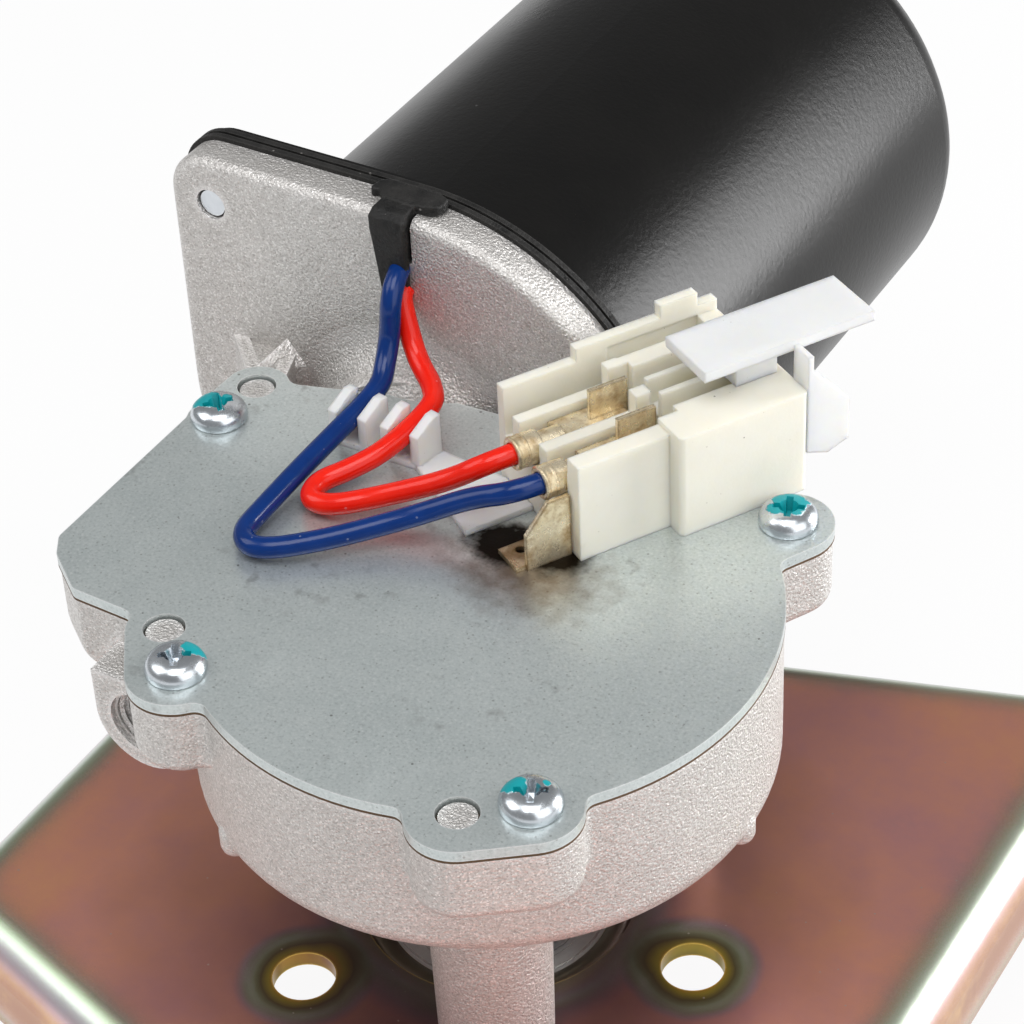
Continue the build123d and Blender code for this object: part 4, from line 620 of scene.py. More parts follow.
# %% Nylon finishes
def nylon_finish(name, colour_low, colour_high, depth, roughness):
    """Translucent moulded nylon with clouds and sparse dirt."""
    nylon = Finish(name, Subsurface_Weight=0.6, Subsurface_Scale=depth, Roughness=roughness)
    nylon.shader.inputs["Subsurface Radius"].default_value = (1.0, 0.85, 0.6)
    clouds = nylon.effect(mottle, Size=0.012, Contrast=0.4)
    dirt = nylon.effect(specks, Spacing=0.0034, Size=0.00022, Share=0.22)
    dust = nylon.effect(specks, Spacing=0.0014, Size=0.00011, Share=0.2)
    colour = nylon.mix(clouds["Value"], colour_low, colour_high)
    colour = nylon.lay(colour, (0.10, 0.08, 0.06), dirt["Mask"], 0.8)
    colour = nylon.lay(colour, (0.35, 0.31, 0.25), dust["Mask"], 0.5)
    scorch = nylon.effect(
        blot, Centre=burn_place, Radius=0.0095, Rim=0.7, Ragged=0.8, Ragged_Size=0.003,
    )
    colour = nylon.lay(colour, (0.20, 0.13, 0.06), scorch["Mask"], 0.55)
    nylon.set(Base_Color=colour)
    nylon.soften(0.0006)
    nylon.bump(clouds["Value"], 0.00008)
    nylon.bump(nylon.noise(0.0005), 0.000012)
    return nylon


ivory_nylon = nylon_finish("ivory_nylon", (0.74, 0.715, 0.62), (0.80, 0.78, 0.70), 0.0030, 0.38)
ivory_nylon.coat("connector_housing")
white_nylon = nylon_finish("white_nylon", (0.88, 0.875, 0.85), (0.93, 0.92, 0.90), 0.0026, 0.34)
white_nylon.shader.inputs["Transmission Weight"].default_value = 0.2
white_nylon.coat("wire_comb")
clear_nylon = nylon_finish("clear_nylon", (0.86, 0.87, 0.86), (0.92, 0.92, 0.92), 0.004, 0.28)
clear_nylon.shader.inputs["Transmission Weight"].default_value = 0.25
clear_nylon.coat("connector_latch")

# %% [markdown]
# ## Tarnished contacts
#
# The terminals are tin-plated brass. Tin dulls to a warm grey, and brass shows brown through
# it in pits and along cut edges, worst near the burnt spot.

# %% Tin over brass
contact = Finish("tinned_brass", Metallic=0.8)
clouds = contact.effect(mottle, Size=0.005, Contrast=0.5)
tarnish = contact.effect(mottle, Size=0.0022, Contrast=0.6)
pitting = contact.effect(mottle, Size=0.0004, Contrast=0.6)
rims = contact.effect(worn_edge, Radius=0.0007, Strength=1.0)
colour = contact.mix(clouds["Value"], (0.82, 0.66, 0.40), (0.96, 0.88, 0.70))
browned = contact.spread(tarnish["Value"], 0.45, 0.95, 0.0, 0.8)
colour = contact.mix(browned, colour, (0.40, 0.24, 0.08))
pit_mask = contact.math(
    "MULTIPLY", contact.spread(pitting["Value"], 0.72, 0.95, 0.0, 0.7),
    contact.spread(tarnish["Value"], 0.25, 0.7),
)
colour = contact.mix(pit_mask, colour, (0.14, 0.07, 0.025))
rim_mask = contact.spread(tarnish["Value"], 0.15, 0.55, 0.15, 0.95)
rim_mask = contact.math("MULTIPLY", rims["Mask"], rim_mask)
colour = contact.mix(rim_mask, colour, (0.22, 0.13, 0.045))
charred = contact.effect(
    blot, Centre=burn_place + Vector((-1.0, 0.5, 0)) * mm, Radius=0.006, Rim=0.6, Ragged=0.9,
    Ragged_Size=0.002,
)
colour = contact.lay(colour, (0.16, 0.09, 0.03), charred["Mask"], 0.7)
contact.set(
    Base_Color=colour,
    Roughness=contact.spread(tarnish["Value"], 0.3, 0.9, 0.26, 0.48),
)
contact.soften(0.0003)
contact.bump(tarnish["Value"], 0.00008)
contact.bump(pitting["Value"], 0.00002)
contact.coat("terminal_blue", "terminal_red", "contact_blade", "park_contacts", "brush_boxes")


# %% [markdown]
# ## Yellow zinc on the bracket
#
# Chromated zinc is clear, but so thin that it splits light like oil on water. The colour
# follows the layer's thickness, so two colour ramps of that order are laid over each other.
# One follows slow clouds and the distance to the holes: reddish brown on the flats, olive and
# yellow round the holes. The other follows how far a widely rounded normal leans, and so gives
# the bent rim its green and violet streaks and a painted silver-white highlight. A darker zone
# round the hub is painted shade and painted reflection, and the hole rims get a painted gold
# highlight. A normal map could hold the same lean, but it would need a UV map and would be fixed
# to one shape.

# %% How far a softly rounded surface leans away from level
tilted, start, end = make_group("tilted", {"Radius": ("value", 0.006)}, {"Tilt": "value"})
leaning = add_node(tilted, "ShaderNodeBevel", {"Radius": start.outputs["Radius"]}, samples=4)
sideways = add_node(
    tilted, "ShaderNodeVectorMath", {0: leaning.outputs["Normal"], 1: (1, 1, 0)},
    operation="MULTIPLY",
)
sideways = add_node(tilted, "ShaderNodeVectorMath", {0: sideways.outputs[0]}, operation="LENGTH")
tilted.links.new(sideways.outputs["Value"], end.inputs["Tilt"])


def fill_ramp(ramp, stops):
    """Set a colour ramp's places and colours."""
    elements = ramp.color_ramp.elements
    elements[0].position, elements[0].color = stops[0][0], (*stops[0][1], 1)
    elements[1].position, elements[1].color = stops[-1][0], (*stops[-1][1], 1)
    for place, colour in stops[1:-1]:
        elements.new(place).color = (*colour, 1)


# %% Iridescent passivation
def iridescent_finish(name, places, roughness):
    """Chromate colours driven by slow clouds, by distance to holes and by the lean of bends, with
    painted highlights on the bends and hole rims and painted shade round the hub.
    """
    zinc = Finish(name, Metallic=0.86)
    clouds = zinc.effect(mottle, Size=0.06, Contrast=0.75)
    wisps = zinc.effect(mottle, Size=0.012, Contrast=0.3)
    film = zinc.math("ADD", zinc.math("MULTIPLY", clouds["Value"], 0.20),
                     zinc.math("MULTIPLY", wisps["Value"], 0.07))
    for centre, reach, share in places:
        halo = zinc.effect(
            blot, Centre=centre, Radius=reach, Rim=0.7, Ragged=0.10, Ragged_Size=0.012
        )
        film = zinc.math("ADD", film, zinc.math("MULTIPLY", halo["Mask"], share))
    ramp = zinc.add("ShaderNodeValToRGB", {"Fac": film})
    stops = [
        (0.00, (0.86, 0.42, 0.22)), (0.09, (0.80, 0.36, 0.25)), (0.19, (0.68, 0.32, 0.30)),
        (0.30, (0.46, 0.30, 0.33)), (0.42, (0.30, 0.29, 0.20)), (0.54, (0.30, 0.36, 0.20)),
        (0.70, (0.14, 0.13, 0.04)), (0.84, (0.50, 0.40, 0.03)), (0.94, (0.85, 0.45, 0.03)),
        (1.00, (0.55, 0.20, 0.04)),
    ]
    fill_ramp(ramp, stops)
    tilt = zinc.effect(tilted, Radius=0.010)["Tilt"]
    waver = zinc.math("MULTIPLY", zinc.math("SUBTRACT", wisps["Value"], 0.5), 0.12)
    tilt = zinc.math("ADD", tilt, waver)
    # Colours by the lean of the bend: the chromate's green and violet streaks, and a painted
    # silver-white highlight across the bend.
    bend_film_and_highlight = zinc.add("ShaderNodeValToRGB", {"Fac": tilt})
    fill_ramp(bend_film_and_highlight, [
        (0.00, (0.46, 0.26, 0.28)), (0.12, (0.30, 0.23, 0.24)), (0.24, (0.22, 0.22, 0.13)),
        (0.36, (0.26, 0.42, 0.17)), (0.48, (0.50, 0.68, 0.46)), (0.60, (0.86, 0.95, 0.90)),
        (0.74, (0.80, 0.76, 0.90)), (0.84, (0.66, 0.40, 0.66)), (0.94, (0.86, 0.55, 0.22)),
        (1.00, (0.50, 0.26, 0.17)),
    ])
    at_bend = zinc.spread(tilt, 0.03, 0.14)
    colour = zinc.mix(at_bend, ramp.outputs["Color"], bend_film_and_highlight.outputs["Color"])
    if places:
        near_hole = zinc.spread(film, 0.45, 0.6)
        colour = zinc.mix(near_hole, colour, ramp.outputs["Color"])
        # Painted shade and painted reflection: a dark zone round the hub, under the gear case.
        shade = zinc.effect(
            blot, Centre=(0, -0.008, 0), Stretch=(1.0, 0.9, 1.0), Radius=0.068, Rim=0.6,
            Ragged=0.25, Ragged_Size=0.02,
        )
        colour = zinc.lay(colour, (0.07, 0.038, 0.045), shade["Mask"], 0.75)
        # A painted highlight in gold along the hole rims.
        gold_rim_highlight = zinc.effect(worn_edge, Radius=0.0006, Strength=0.8)
        colour = zinc.mix(
            zinc.math("MULTIPLY", gold_rim_highlight["Mask"], near_hole), colour, (0.92, 0.62, 0.14)
        )
    dust = zinc.effect(specks, Spacing=0.0024, Size=0.00018, Share=0.3)
    colour = zinc.lay(colour, (0.5, 0.45, 0.4), dust["Mask"], 0.5)
    zinc.set(
        Base_Color=colour,
        Roughness=zinc.spread(wisps["Value"], 0.0, 1.0, roughness, roughness + 0.1),
    )
    zinc.bump(zinc.noise(0.0006, 3.0), 0.00001)
    return zinc


mount_hole_circle = 38.5 * mm
hole_halos = [(Vector((0, 0, 0)), 0.034, 0.85)] + [
    (Vector((math.cos(a), math.sin(a), 0)) * mount_hole_circle, 0.0125, 0.95)
    for a in (0, math.radians(120), math.radians(240))
]
bracket_zinc = iridescent_finish("iridescent_bracket", hole_halos, 0.26)
bracket_zinc.coat("mounting_bracket", "weld_bead")
screw_zinc = iridescent_finish("iridescent_screws", [], 0.24)
screw_zinc.coat("leg_screws", "leg_washers")


# %% [markdown]
# ## Turned steel
#
# The hub, the shafts and the bearings were turned or ground, which leaves fine rings. One noise
# along the radius and the height gives rings on faces and on cylinders alike, and it drives
# roughness and bump together, so that the rings catch the light as tool marks do.

# %% Turned steel for hub and shafts
def turned_finish(name, dark, light, roughness, ring_size):
    """Machined metal with fine rings round the Z axis."""
    metal = Finish(name, Metallic=1.0)
    split = metal.add("ShaderNodeSeparateXYZ", {"Vector": metal.position})
    flat = metal.add("ShaderNodeCombineXYZ", {"X": split.outputs["X"], "Y": split.outputs["Y"]})
    radius = metal.add("ShaderNodeVectorMath", {0: flat.outputs[0]}, operation="LENGTH")
    along = metal.math("ADD", radius.outputs["Value"], split.outputs["Z"])
    along = metal.math("DIVIDE", along, ring_size)
    rings = metal.add(
        "ShaderNodeTexNoise", {"W": along, "Scale": 1.0, "Detail": 3.0}, noise_dimensions="1D"
    )
    clouds = metal.effect(mottle, Size=0.006, Contrast=0.5)
    colour = metal.mix(clouds["Value"], dark, light)
    metal.set(
        Base_Color=colour,
        Roughness=metal.spread(rings.outputs["Fac"], 0.3, 0.7, roughness, roughness + 0.15),
    )
    metal.bump(rings.outputs["Fac"], 0.00003)
    return metal


hub_steel = turned_finish("hub_steel", (0.55, 0.55, 0.55), (0.74, 0.74, 0.73), 0.24, 0.0005)
hub_steel.coat("threaded_hub")
ground_steel = turned_finish("ground_steel", (0.42, 0.42, 0.43), (0.60, 0.60, 0.61), 0.22, 0.0004)
ground_steel.coat(
    "output_shaft", "armature_shaft", "shaft_washer", "shaft_nut", "circlip", "thrust_washers",
    "bearing_outer_ring", "bearing_inner_ring", "bearing_balls", "thrust_ball", "park_disc",
    "brush_springs", "adjuster_plug",
)


# %% [markdown]
# ## Inside the motor
#
# These parts are hidden in the picture, but they are seen in other views of the model, so
# each gets the look of its stuff: bronze, enamelled copper, stacked iron, ferrite and carbon.

# %% Plain finishes made the same way
def plain_finish(name, low, high, metallic, roughness, size, depth, stretch=None):
    """Two tones of noise with a matching bump."""
    made = Finish(name, Metallic=metallic, Roughness=roughness)
    tone = made.spread(made.noise(size, 5.0, stretch), 0.35, 0.65)
    made.set(
        Base_Color=made.mix(tone, low, high),
        Roughness=made.spread(tone, 0, 1, roughness, roughness + 0.1),
    )
    made.bump(tone, depth)
    return made


plain_finishes = [
    ("bronze", (0.42, 0.27, 0.12), (0.62, 0.43, 0.22), 1.0, 0.35, 0.0008, 0.00003),
    ("enamelled_copper", (0.30, 0.09, 0.03), (0.62, 0.27, 0.12), 0.85, 0.25, 0.0009, 0.0003,
     (1.0, 0.18, 1.0)),
    ("copper", (0.50, 0.22, 0.11), (0.72, 0.38, 0.22), 1.0, 0.3, 0.003, 0.00002),
    ("iron_sheets", (0.13, 0.13, 0.14), (0.25, 0.25, 0.26), 1.0, 0.4, 0.0006, 0.00012,
     (0.05, 1.0, 0.05)),
    ("ferrite", (0.035, 0.035, 0.038), (0.075, 0.075, 0.08), 0.3, 0.5, 0.002, 0.00005),
    ("carbon", (0.015, 0.015, 0.016), (0.04, 0.04, 0.042), 0.2, 0.45, 0.001, 0.00003),
    ("laminate", (0.17, 0.085, 0.04), (0.28, 0.15, 0.08), 0.0, 0.5, 0.002, 0.00003),
    ("wheel_nylon", (0.66, 0.62, 0.50), (0.78, 0.75, 0.63), 0.0, 0.4, 0.008, 0.00004),
]
plainly_coated = {
    "bronze": ("front_bush", "rear_bush", "output_bushes"),
    "enamelled_copper": ("armature_windings",), "copper": ("commutator",),
    "iron_sheets": ("armature_core",), "ferrite": ("magnets",), "carbon": ("brushes",),
    "laminate": ("brush_plate", "contact_carrier"), "wheel_nylon": ("worm_wheel",),
}
for values in plain_finishes:
    plain_finish(*values).coat(*plainly_coated[values[0]])
print("materials:", len(bpy.data.materials))

# %% [markdown]
# ## The wires
#
# Two insulated wires leave the rubber grommet, pass between the fingers of the comb, turn back
# in a tight loop on the cover and rise into their crimps. A NURBS curve whose control points
# are the CAD route's points hangs like real wire, where straight runs with arcs look bent.

# %% Connector frame and wire routes
connector_turn = math.radians(59.5)
cover_top_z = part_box("cover_plate")[1].z
wire_diameter = 3.8 * mm
lanes = {"blue": 7.1, "red": 16.4}
lane_height = 13.0
lane_start, lane_end = 10.9, 17.6


def on_connector(s, t, height):
    """A point in the connector's frame: along the wires, across them and over the cover."""
    return Vector((
        s * math.cos(connector_turn) - t * math.sin(connector_turn),
        s * math.sin(connector_turn) + t * math.cos(connector_turn),
        height,
    )) * mm + Vector((0, 0, cover_top_z))


def over_cover(x, y, height):
    """A point given by its place in plan and its height over the cover, in millimetres."""
    return Vector((x, y, height)) * mm + Vector((0, 0, cover_top_z))


wire_routes = {
    "wire_blue": [
        over_cover(-43.0, 47.4, 24.0), over_cover(-42.2, 43.6, 23.2), over_cover(-41.7, 41.0, 19.8),
        over_cover(-41.7, 40.7, 16.6), over_cover(-41.8, 40.0, 13.2), over_cover(-41.2, 37.4, 9.8),
        over_cover(-39.9, 33.4, 7.6), over_cover(-42.0, 21.5, 4.9), over_cover(-42.9, 11.4, 3.6),
        over_cover(-43.2, 1.0, 2.7), over_cover(-43.0, -6.4, 2.5), over_cover(-38.2, -9.0, 2.5),
        over_cover(-29.0, -1.6, 2.9), over_cover(-17.0, 8.6, 5.4), over_cover(-8.6, 12.0, 9.8),
        on_connector(lane_start, lanes["blue"], lane_height),
        on_connector(lane_end, lanes["blue"], lane_height),
    ],
    "wire_red": [
        over_cover(-42.4, 46.8, 19.6), over_cover(-42.3, 45.6, 19.0), over_cover(-41.8, 45.0, 17.2),
        over_cover(-40.6, 44.2, 14.4), over_cover(-38.6, 42.6, 11.2), over_cover(-36.0, 40.6, 9.2),
        over_cover(-31.6, 37.4, 8.2), over_cover(-28.9, 33.4, 7.5),
        over_cover(-31.4, 21.5, 5.1), over_cover(-35.4, 15.4, 3.6), over_cover(-38.9, 11.2, 2.8),
        over_cover(-37.9, 6.6, 2.6), over_cover(-33.4, 6.6, 2.7), over_cover(-26.0, 12.0, 3.8),
        over_cover(-15.6, 16.0, 8.0),
        on_connector(lane_start, lanes["red"], lane_height),
        on_connector(lane_end, lanes["red"], lane_height),
    ],
}


def wire_finish(name, low, high):
    """Glossy soft PVC with faint scuffs and dust."""
    skin = Finish(name, Specular_IOR_Level=0.32)
    clouds = skin.effect(mottle, Size=0.004, Contrast=0.5)
    scuffs = skin.effect(specks, Spacing=0.0018, Size=0.00022, Share=0.3)
    colour = skin.mix(clouds["Value"], low, high)
    colour = skin.lay(colour, (0.6, 0.6, 0.66), scuffs["Mask"], 0.18)
    skin.set(
        Base_Color=colour,
        Roughness=skin.spread(clouds["Value"], 0.0, 1.0, 0.15, 0.23),
    )
    skin.bump(skin.noise(0.0009, 3.0), 0.000015)
    return skin


wire_skins = {
    "wire_blue": wire_finish("blue_pvc", (0.0004, 0.020, 0.125), (0.0006, 0.030, 0.175)),
    "wire_red": wire_finish("red_pvc", (0.74, 0.008, 0.002), (0.86, 0.020, 0.006)),
}


def nurbs_line(name, points, diameter):
    """A curve object on one smooth NURBS spline through the given control points."""
    curve = bpy.data.curves.new(name, "CURVE")
    curve.dimensions = "3D"
    curve.bevel_depth = diameter / 2
    curve.bevel_resolution = 6
    curve.resolution_u = 12
    curve.use_fill_caps = True
    spline = curve.splines.new("NURBS")
    spline.points.add(len(points) - 1)
    for point, place in zip(spline.points, points):
        point.co = (*place, 1)
    spline.order_u = 3
    spline.use_endpoint_u = True
    return link_object(name, curve)


def evaluated_mesh(holder):
    """The mesh that an object has after its curve or modifiers are worked out."""
    bpy.context.view_layer.update()
    graph = bpy.context.evaluated_depsgraph_get()
    return bpy.data.meshes.new_from_object(holder.evaluated_get(graph))


def centre_length(curve):
    """The length of a curve's centre line, measured on a copy without thickness."""
    bare = curve.copy()
    bare.bevel_depth = 0
    probe = link_object("probe", bare)
    line = evaluated_mesh(probe)
    bpy.data.objects.remove(probe)
    points = line.vertices
    return sum((points[a].co - points[b].co).length for a, b in (e.vertices for e in line.edges))


for name, route in wire_routes.items():
    wire = nurbs_line(name + "_skin", route, wire_diameter)
    wire.data.materials.append(wire_skins[name].material)
    wire_length = centre_length(wire.data)
    print(name, "length in mm:", round(wire_length / mm, 1))
    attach(wire, "motor_unit")
    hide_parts(name)

# %% [markdown]
# ## Modelling helpers
#
# Most small parts are round, so they start as a profile that is spun about an axis; the rest
# start as an outline that is filled and extruded. Both end as a mesh with outward normals and
# with smooth shading that breaks at sharp corners.

# %% Spin, extrude and finish
smooth_limit = math.radians(38)


def spin_profile(profile, steps=48):
    """A closed mesh from (radius, height) points spun about the Z axis."""
    made = bmesh.new()
    corners = [made.verts.new((radius * mm, 0, height * mm)) for radius, height in profile]
    edges = [made.edges.new(pair) for pair in zip(corners, corners[1:])]
    bmesh.ops.spin(
        made, geom=corners + edges, cent=(0, 0, 0), axis=(0, 0, 1), angle=math.tau,
        steps=steps, use_merge=True,
    )
    bmesh.ops.remove_doubles(made, verts=made.verts, dist=1e-6)
    bmesh.ops.recalc_face_normals(made, faces=made.faces)
    return made


def extrude_outline(outline, depth):
    """A slab from (x, y) points in millimetres, extruded up Z by a depth."""
    made = bmesh.new()
    face = made.faces.new([made.verts.new((x * mm, y * mm, 0)) for x, y in outline])
    grown = bmesh.ops.extrude_face_region(made, geom=[face])
    bmesh.ops.translate(
        made, verts=[v for v in grown["geom"] if isinstance(v, bmesh.types.BMVert)],
        vec=(0, 0, depth * mm),
    )
    bmesh.ops.recalc_face_normals(made, faces=made.faces)
    return made


def round_edges(made, width, segments=3, least_angle=25.0):
    """Bevel every edge that is sharper than the least angle."""
    least = math.radians(least_angle)
    sharp = [e for e in made.edges if e.is_manifold and e.calc_face_angle() > least]
    bmesh.ops.bevel(
        made, geom=sharp, offset=width * mm, affect="EDGES", segments=segments, profile=0.5,
        material=-1, clamp_overlap=True,
    )


def join_meshes(parts):
    """One bmesh from several, each placed by its matrix."""
    whole = bmesh.new()
    for part, place in parts:
        bmesh.ops.transform(part, matrix=place, verts=part.verts)
        carrier = bpy.data.meshes.new("carrier")
        part.to_mesh(carrier)
        part.free()
        whole.from_mesh(carrier)
        bpy.data.meshes.remove(carrier)
    return whole


def finish_piece(name, made, finish, body="motor_unit"):
    """Turn a bmesh into an object with a finish that rides on a body."""
    mesh = bpy.data.meshes.new(name)
    made.to_mesh(mesh)
    made.free()
    mesh.materials.append(finish.material)
    mesh.shade_smooth()
    mesh.set_sharp_from_angle(angle=smooth_limit)
    piece = link_object(name, mesh)
    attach(piece, body)
    return piece


def cut_away(piece, cutter):
    """Subtract one bmesh from a piece for good."""
    tool_mesh = bpy.data.meshes.new("cutter")
    cutter.to_mesh(tool_mesh)
    cutter.free()
    tool = link_object("cutter", tool_mesh)
    cut = piece.modifiers.new("cut", "BOOLEAN")
    cut.operation = "DIFFERENCE"
    cut.solver = "EXACT"
    cut.object = tool
    result = evaluated_mesh(piece)
    piece.modifiers.clear()
    piece.data = result
    result.name = piece.name
    result.set_sharp_from_angle(angle=smooth_limit)
    bpy.data.objects.remove(tool)


# %% [markdown]
# ## Cover screws
#
# Four pan heads with a serrated cross recess hold the cover. The recess is the part that the
# eye reads, so its cutter has two tapered wings, a cone between them and four small ribs, and
# it is subtracted from a spun head. A dab of teal paint marks each screw as tightened.

# %% Screw heads with a recess
head_profile = [
    (0, 3.45), (2.2, 3.42), (3.3, 3.22), (4.1, 2.8), (4.7, 2.15), (5.02, 1.4), (5.1, 0.7),
    (5.02, 0.18), (4.8, 0.02), (2.45, 0.02), (2.45, -11.6), (1.7, -12.0), (0, -12.0),
]
recess_wedges = [
    # turns in degrees, size in millimetres, share of the size that is left at the bottom
    ((0, 90), (7.2, 1.55, 4.6), (0.5, 0.55, 1)),
    ((45, 135), (4.6, 0.55, 3.91), (0.35, 0.6, 1)),
]
recess_cone = [(0, 0.7), (0.9, 1.2), (1.9, 3.9), (0, 3.9)]
recess_top = 3.3


def recess_parts():
    """Two tapered wings, four small ribs and a cone, each with its place."""
    parts = []
    for turns, size, taper in recess_wedges:
        for turn in turns:
            wedge = bmesh.new()
            bmesh.ops.create_cube(wedge, size=1)
            low = [v for v in wedge.verts if v.co.z < 0]
            bmesh.ops.scale(wedge, vec=taper, verts=low)
            place = Matrix.Translation((0, 0, recess_top * mm))
            place @= Matrix.Rotation(math.radians(turn), 4, "Z")
            parts.append((wedge, place @ Matrix.Diagonal((*(x * mm for x in size), 1))))
    parts.append((spin_profile(recess_cone, 24), Matrix.Identity(4)))
    return parts


cover_screws = {
    "upper_left": ((-66.6, 21.6), 48), "lower_left": ((-34.4, -37.4), 32),
    "front": ((31.3, -37.8), 27), "right": ((35.2, 41.2), 20),
}
screw_finish = zinc_finish("painted_zinc", (0.52, 0.56, 0.60), (0.74, 0.78, 0.82), 0.20)
paint_dabs = [
    ((-66.6, 21.6), (-2.0, 1.2), 2.7), ((-34.4, -37.4), (3.2, 1.9), 2.3),
    ((31.3, -37.8), (-2.5, 1.6), 2.2), ((31.3, -37.8), (2.4, 1.4), 1.0),
    ((35.2, 41.2), (0.3, 0.9), 3.3), ((35.2, 41.2), (-2.0, -0.3), 1.8),
    ((-66.6, 21.6), (1.6, 1.5), 1.2),
]
sight_across = Vector((math.cos(camera_azimuth), math.sin(camera_azimuth), 0))
sight_along = Vector((-math.sin(camera_azimuth), math.cos(camera_azimuth), 0))
dab_height = 2.6
painted = None
for (x, y), (right, back), radius in paint_dabs:
    centre = over_cover(x, y, dab_height) + (sight_across * right + sight_along * back) * mm
    dab = screw_finish.effect(
        blot, Centre=centre, Radius=radius * mm, Rim=0.08, Ragged=0.75, Ragged_Size=0.0014
    )["Mask"]
    painted = dab if painted is None else screw_finish.math("MAXIMUM", painted, dab)
plated = screw_finish.shader.inputs["Base Color"].links[0].from_socket
rough = screw_finish.shader.inputs["Roughness"].links[0].from_socket
screw_finish.set(
    Base_Color=screw_finish.mix(painted, plated, (0.0, 0.30, 0.335)),
    Metallic=screw_finish.blend(painted, 1.0, 0.0),
    Roughness=screw_finish.blend(painted, rough, 0.38),
)
screw_finish.bump(painted, 0.00015)

heads = join_meshes([
    (spin_profile(head_profile, 40), Matrix.Translation(over_cover(x, y, 0)))
    for (x, y), turn in cover_screws.values()
])
screw_heads = finish_piece("cover_screw_heads", heads, screw_finish)
for (x, y), turn in cover_screws.values():
    place = Matrix.Translation(over_cover(x, y, 0)) @ Matrix.Rotation(math.radians(turn), 4, "Z")
    for part, own in recess_parts():
        cut_away(screw_heads, join_meshes([(part, place @ own)]))
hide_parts("cover_screws")
print("screw heads:", len(screw_heads.data.polygons), "faces")

# %% [markdown]
# ## Wire grommet
#
# The wires come out of the motor through a rubber part that was pushed into a slot of the
# flange: a bar lies along the can's seal, and a tongue folds over the flange's edge and runs
# down its face, with the wires leaving through it. Soft rubber has no crisp corners, so the
# bar and the tongue are extruded outlines with rounded edges. The tongue gets narrower on its
# way down, and its top leans to one side, as in the photograph.

# %% Rubber bar and tongue
tongue_side = [
    (54.2, 101.0), (54.2, 102.7), (50.2, 102.7), (46.6, 102.3), (45.0, 101.2), (44.7, 99.0),
    (45.0, 95.0), (45.6, 90.0), (46.2, 84.5), (46.85, 84.3), (46.85, 92.3), (48.6, 92.3),
    (53.8, 92.3),
]
tongue_left, tongue_middle, tongue_width = -47.35, -44.0, 6.7
narrow_below, narrow_over, narrow_share = 99.0, 15.0, 0.16
lean_above, lean_before, lean_share = 100.0, 50.5, 0.10
bar_bottom, bar_thickness = 100.85, 2.0
bar_outline = [
    (-51.0, 51.3), (-50.6, 53.9), (-49.2, 55.0), (-44.0, 54.9), (-38.6, 54.7), (-36.6, 53.8),
    (-36.2, 52.0), (-36.9, 50.4), (-38.6, 49.6), (-40.2, 49.5), (-41.2, 49.0), (-47.0, 49.4),
    (-48.2, 50.2), (-49.2, 51.4), (-50.2, 50.7),
]
tongue = extrude_outline(tongue_side, tongue_width)
crossing = [e for e in tongue.edges if abs(e.verts[0].co.z - e.verts[1].co.z) > 1 * mm]
bmesh.ops.subdivide_edges(tongue, edges=crossing, cuts=3)
stand_up = Matrix(((0, 0, 1, tongue_left * mm), (1, 0, 0, 0), (0, 1, 0, 0), (0, 0, 0, 1)))
bmesh.ops.transform(tongue, matrix=stand_up, verts=tongue.verts)
for vert in tongue.verts:
    lower = max(0.0, (narrow_below * mm - vert.co.z) / (narrow_over * mm))
    middle = tongue_middle * mm
    vert.co.x = middle + (vert.co.x - middle) * (1 - narrow_share * lower)
    if vert.co.z > lean_above * mm:
        vert.co.x -= lean_share * max(0.0, lean_before * mm - vert.co.y)
bmesh.ops.recalc_face_normals(tongue, faces=tongue.faces)
round_edges(tongue, 0.45, 3)
bar = extrude_outline(bar_outline, bar_thickness)
round_edges(bar, 0.6, 4)
bmesh.ops.translate(bar, verts=bar.verts, vec=(0, 0, bar_bottom * mm))
rubber_parts = join_meshes([(tongue, Matrix.Identity(4)), (bar, Matrix.Identity(4))])
grommet = finish_piece("rubber_grommet", rubber_parts, black_rubber)
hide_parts("wire_grommet")
print("grommet:", len(grommet.data.polygons), "faces")

# %% [markdown]
# ## More of the casting
#
# Where the worm tunnel meets the flange the metal swells into a round neck, and beside it a
# fan of three facets stiffens the flange. They belong to the same casting, so they take its
# finish. The neck is a spun profile and the fan is three faces from one tip, pulled down.
# Two small bosses, where pins pushed the casting out of its die, are spun as well. The thread
# in the lug is a small ridge that is spun while it climbs.

# %% Neck and gusset
motor_axis = Vector((-43, 0, 52)) * mm
neck_profile = [
    (0, 47.4), (26.4, 47.4), (26.0, 47.02), (24.6, 46.97), (23.4, 46.84), (22.2, 46.54),
    (21.0, 46.0), (19.9, 45.2), (18.8, 44.2), (17.6, 43.0), (16.2, 41.8), (14.6, 40.7),
    (13.0, 39.6), (12.0, 38.9), (0, 38.9),
]
neck = spin_profile(neck_profile, 72)
to_motor = Matrix.Translation(motor_axis) @ Matrix(
    ((1, 0, 0, 0), (0, 0, 1, 0), (0, -1, 0, 0), (0, 0, 0, 1))
)
bmesh.ops.transform(neck, matrix=to_motor, verts=neck.verts)
bmesh.ops.recalc_face_normals(neck, faces=neck.faces)
neck_swell = finish_piece("neck_swell", neck, cast)

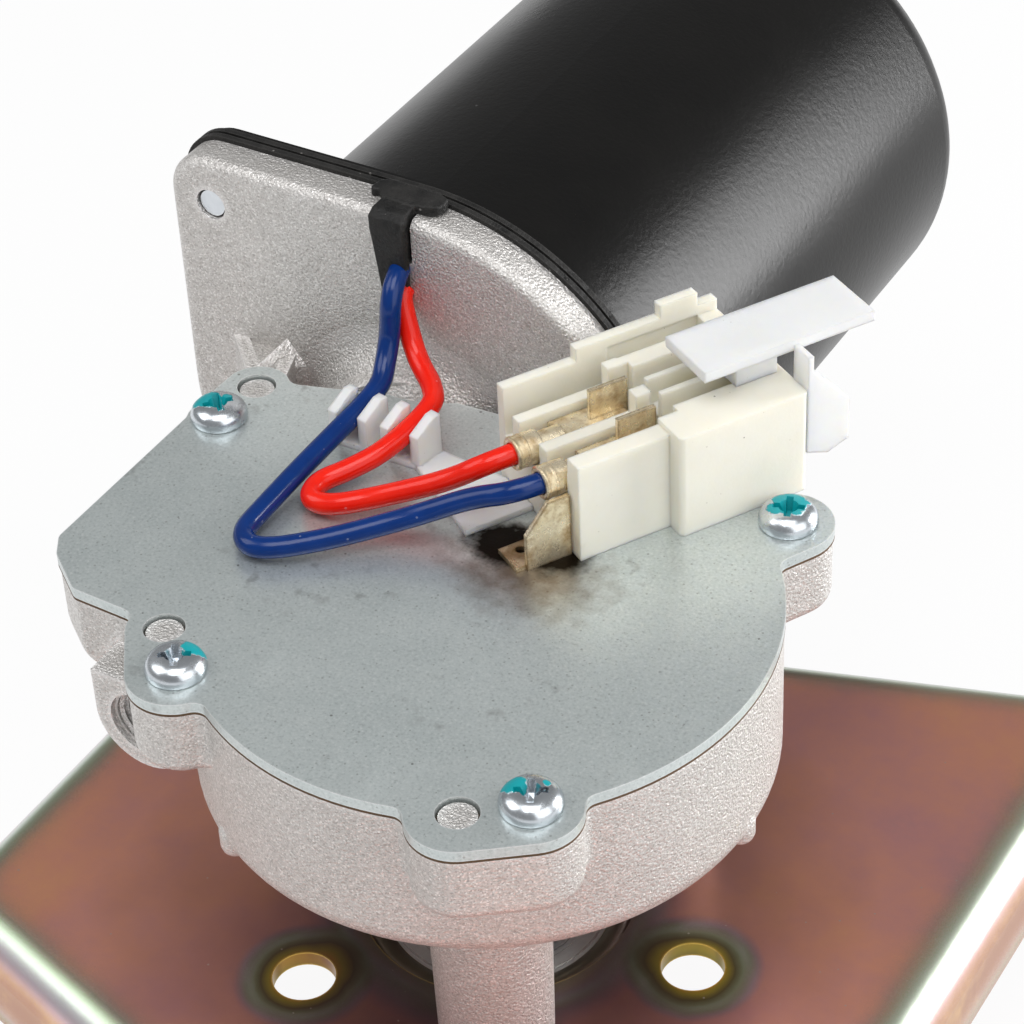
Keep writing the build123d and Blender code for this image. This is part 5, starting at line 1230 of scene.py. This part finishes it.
fan_tip = Vector((-71.7, 39.4, 64.4)) * mm
fan_back_y, fan_bottom_z = 47.5, 54.5
fan_rim = [(-80.9, 64.3), (-72.6, 63.4), (-69.0, 67.4), (-64.9, 62.0)]
fan = bmesh.new()
tip = fan.verts.new(fan_tip)
rim = [fan.verts.new(Vector((x, fan_back_y, z)) * mm) for x, z in fan_rim]
fan_faces = [fan.faces.new((tip, a, b)) for a, b in zip(rim, rim[1:])]
grown = bmesh.ops.extrude_face_region(fan, geom=fan_faces)
for vert in grown["geom"]:
    if isinstance(vert, bmesh.types.BMVert):
        vert.co.z = fan_bottom_z * mm
bmesh.ops.recalc_face_normals(fan, faces=fan.faces)
round_edges(fan, 0.3, 2, 25)
gusset_fan = finish_piece("gusset_fan", fan, cast)

# %% Ejector bosses on the case's wall
boss_profile = [
    (0, 34.4), (1.6, 34.4), (2.3, 34.9), (2.6, 35.8), (2.6, 39.0), (1.8, 41.6), (0, 43.0),
]
bosses = [
    (spin_profile(boss_profile, 28), Matrix.Translation((x * mm, y * mm, 0)))
    for x, y in ((47.0, 0.6), (-24.4, -40.4))
]
case_bosses = finish_piece("case_bosses", join_meshes(bosses), cast)
print("casting extras:", [len(p.data.polygons) for p in (neck_swell, gusset_fan, case_bosses)])

# %% Thread in the adjuster's hole
thread_turns, thread_pitch, thread_steps = 5, 1.25, 36
thread_start_y = -36.4
ridge_profile = [(5.62, -0.5), (5.05, 0.0), (5.62, 0.5)]
thread = bmesh.new()
ridge = [thread.verts.new(Vector((radius, 0, height)) * mm) for radius, height in ridge_profile]
ridge_edges = [thread.edges.new(pair) for pair in zip(ridge, ridge[1:])]
bmesh.ops.spin(
    thread, geom=ridge + ridge_edges, cent=(0, 0, 0), axis=(0, 0, 1),
    angle=math.tau * thread_turns, steps=thread_steps * thread_turns,
    dvec=(0, 0, thread_pitch * mm / thread_steps), use_duplicate=False,
)
into_lug = to_motor @ Matrix.Translation((0, 0, thread_start_y * mm))
bmesh.ops.transform(thread, matrix=into_lug, verts=thread.verts)
bmesh.ops.recalc_face_normals(thread, faces=thread.faces)
lug_thread = finish_piece("lug_thread", thread, cast)
print("thread:", len(lug_thread.data.polygons), "faces")

# %% [markdown]
# ## Crimp barrels
#
# Each terminal grips its wire with a rolled barrel that ends in a belled mouth. The CAD model
# has a plain tube there, so a spun sleeve with a bell and two rings goes over it.

# %% Belled sleeves with rings
sleeve_profile = [
    (2.0, 15.5), (2.7, 15.4), (3.0, 15.65), (3.02, 16.0), (2.8, 16.35), (2.66, 16.7), (2.68, 17.0),
    (2.94, 17.25), (2.96, 17.7), (2.72, 18.0), (2.6, 18.5), (2.5, 19.0), (1.9, 19.0), (1.9, 16.0),
]
along_wires = Vector((math.cos(connector_turn), math.sin(connector_turn), 0))
lane_axes = along_wires.to_track_quat("Z", "X").to_matrix().to_4x4()
for colour_name, lane in lanes.items():
    sleeve = spin_profile(sleeve_profile + sleeve_profile[:1], 40)
    place = Matrix.Translation(on_connector(0, lane, lane_height)) @ lane_axes
    bmesh.ops.transform(sleeve, matrix=place, verts=sleeve.verts)
    crimp = finish_piece("crimp_sleeve_" + colour_name, sleeve, contact)
    print(crimp.name, len(crimp.data.polygons), "faces")
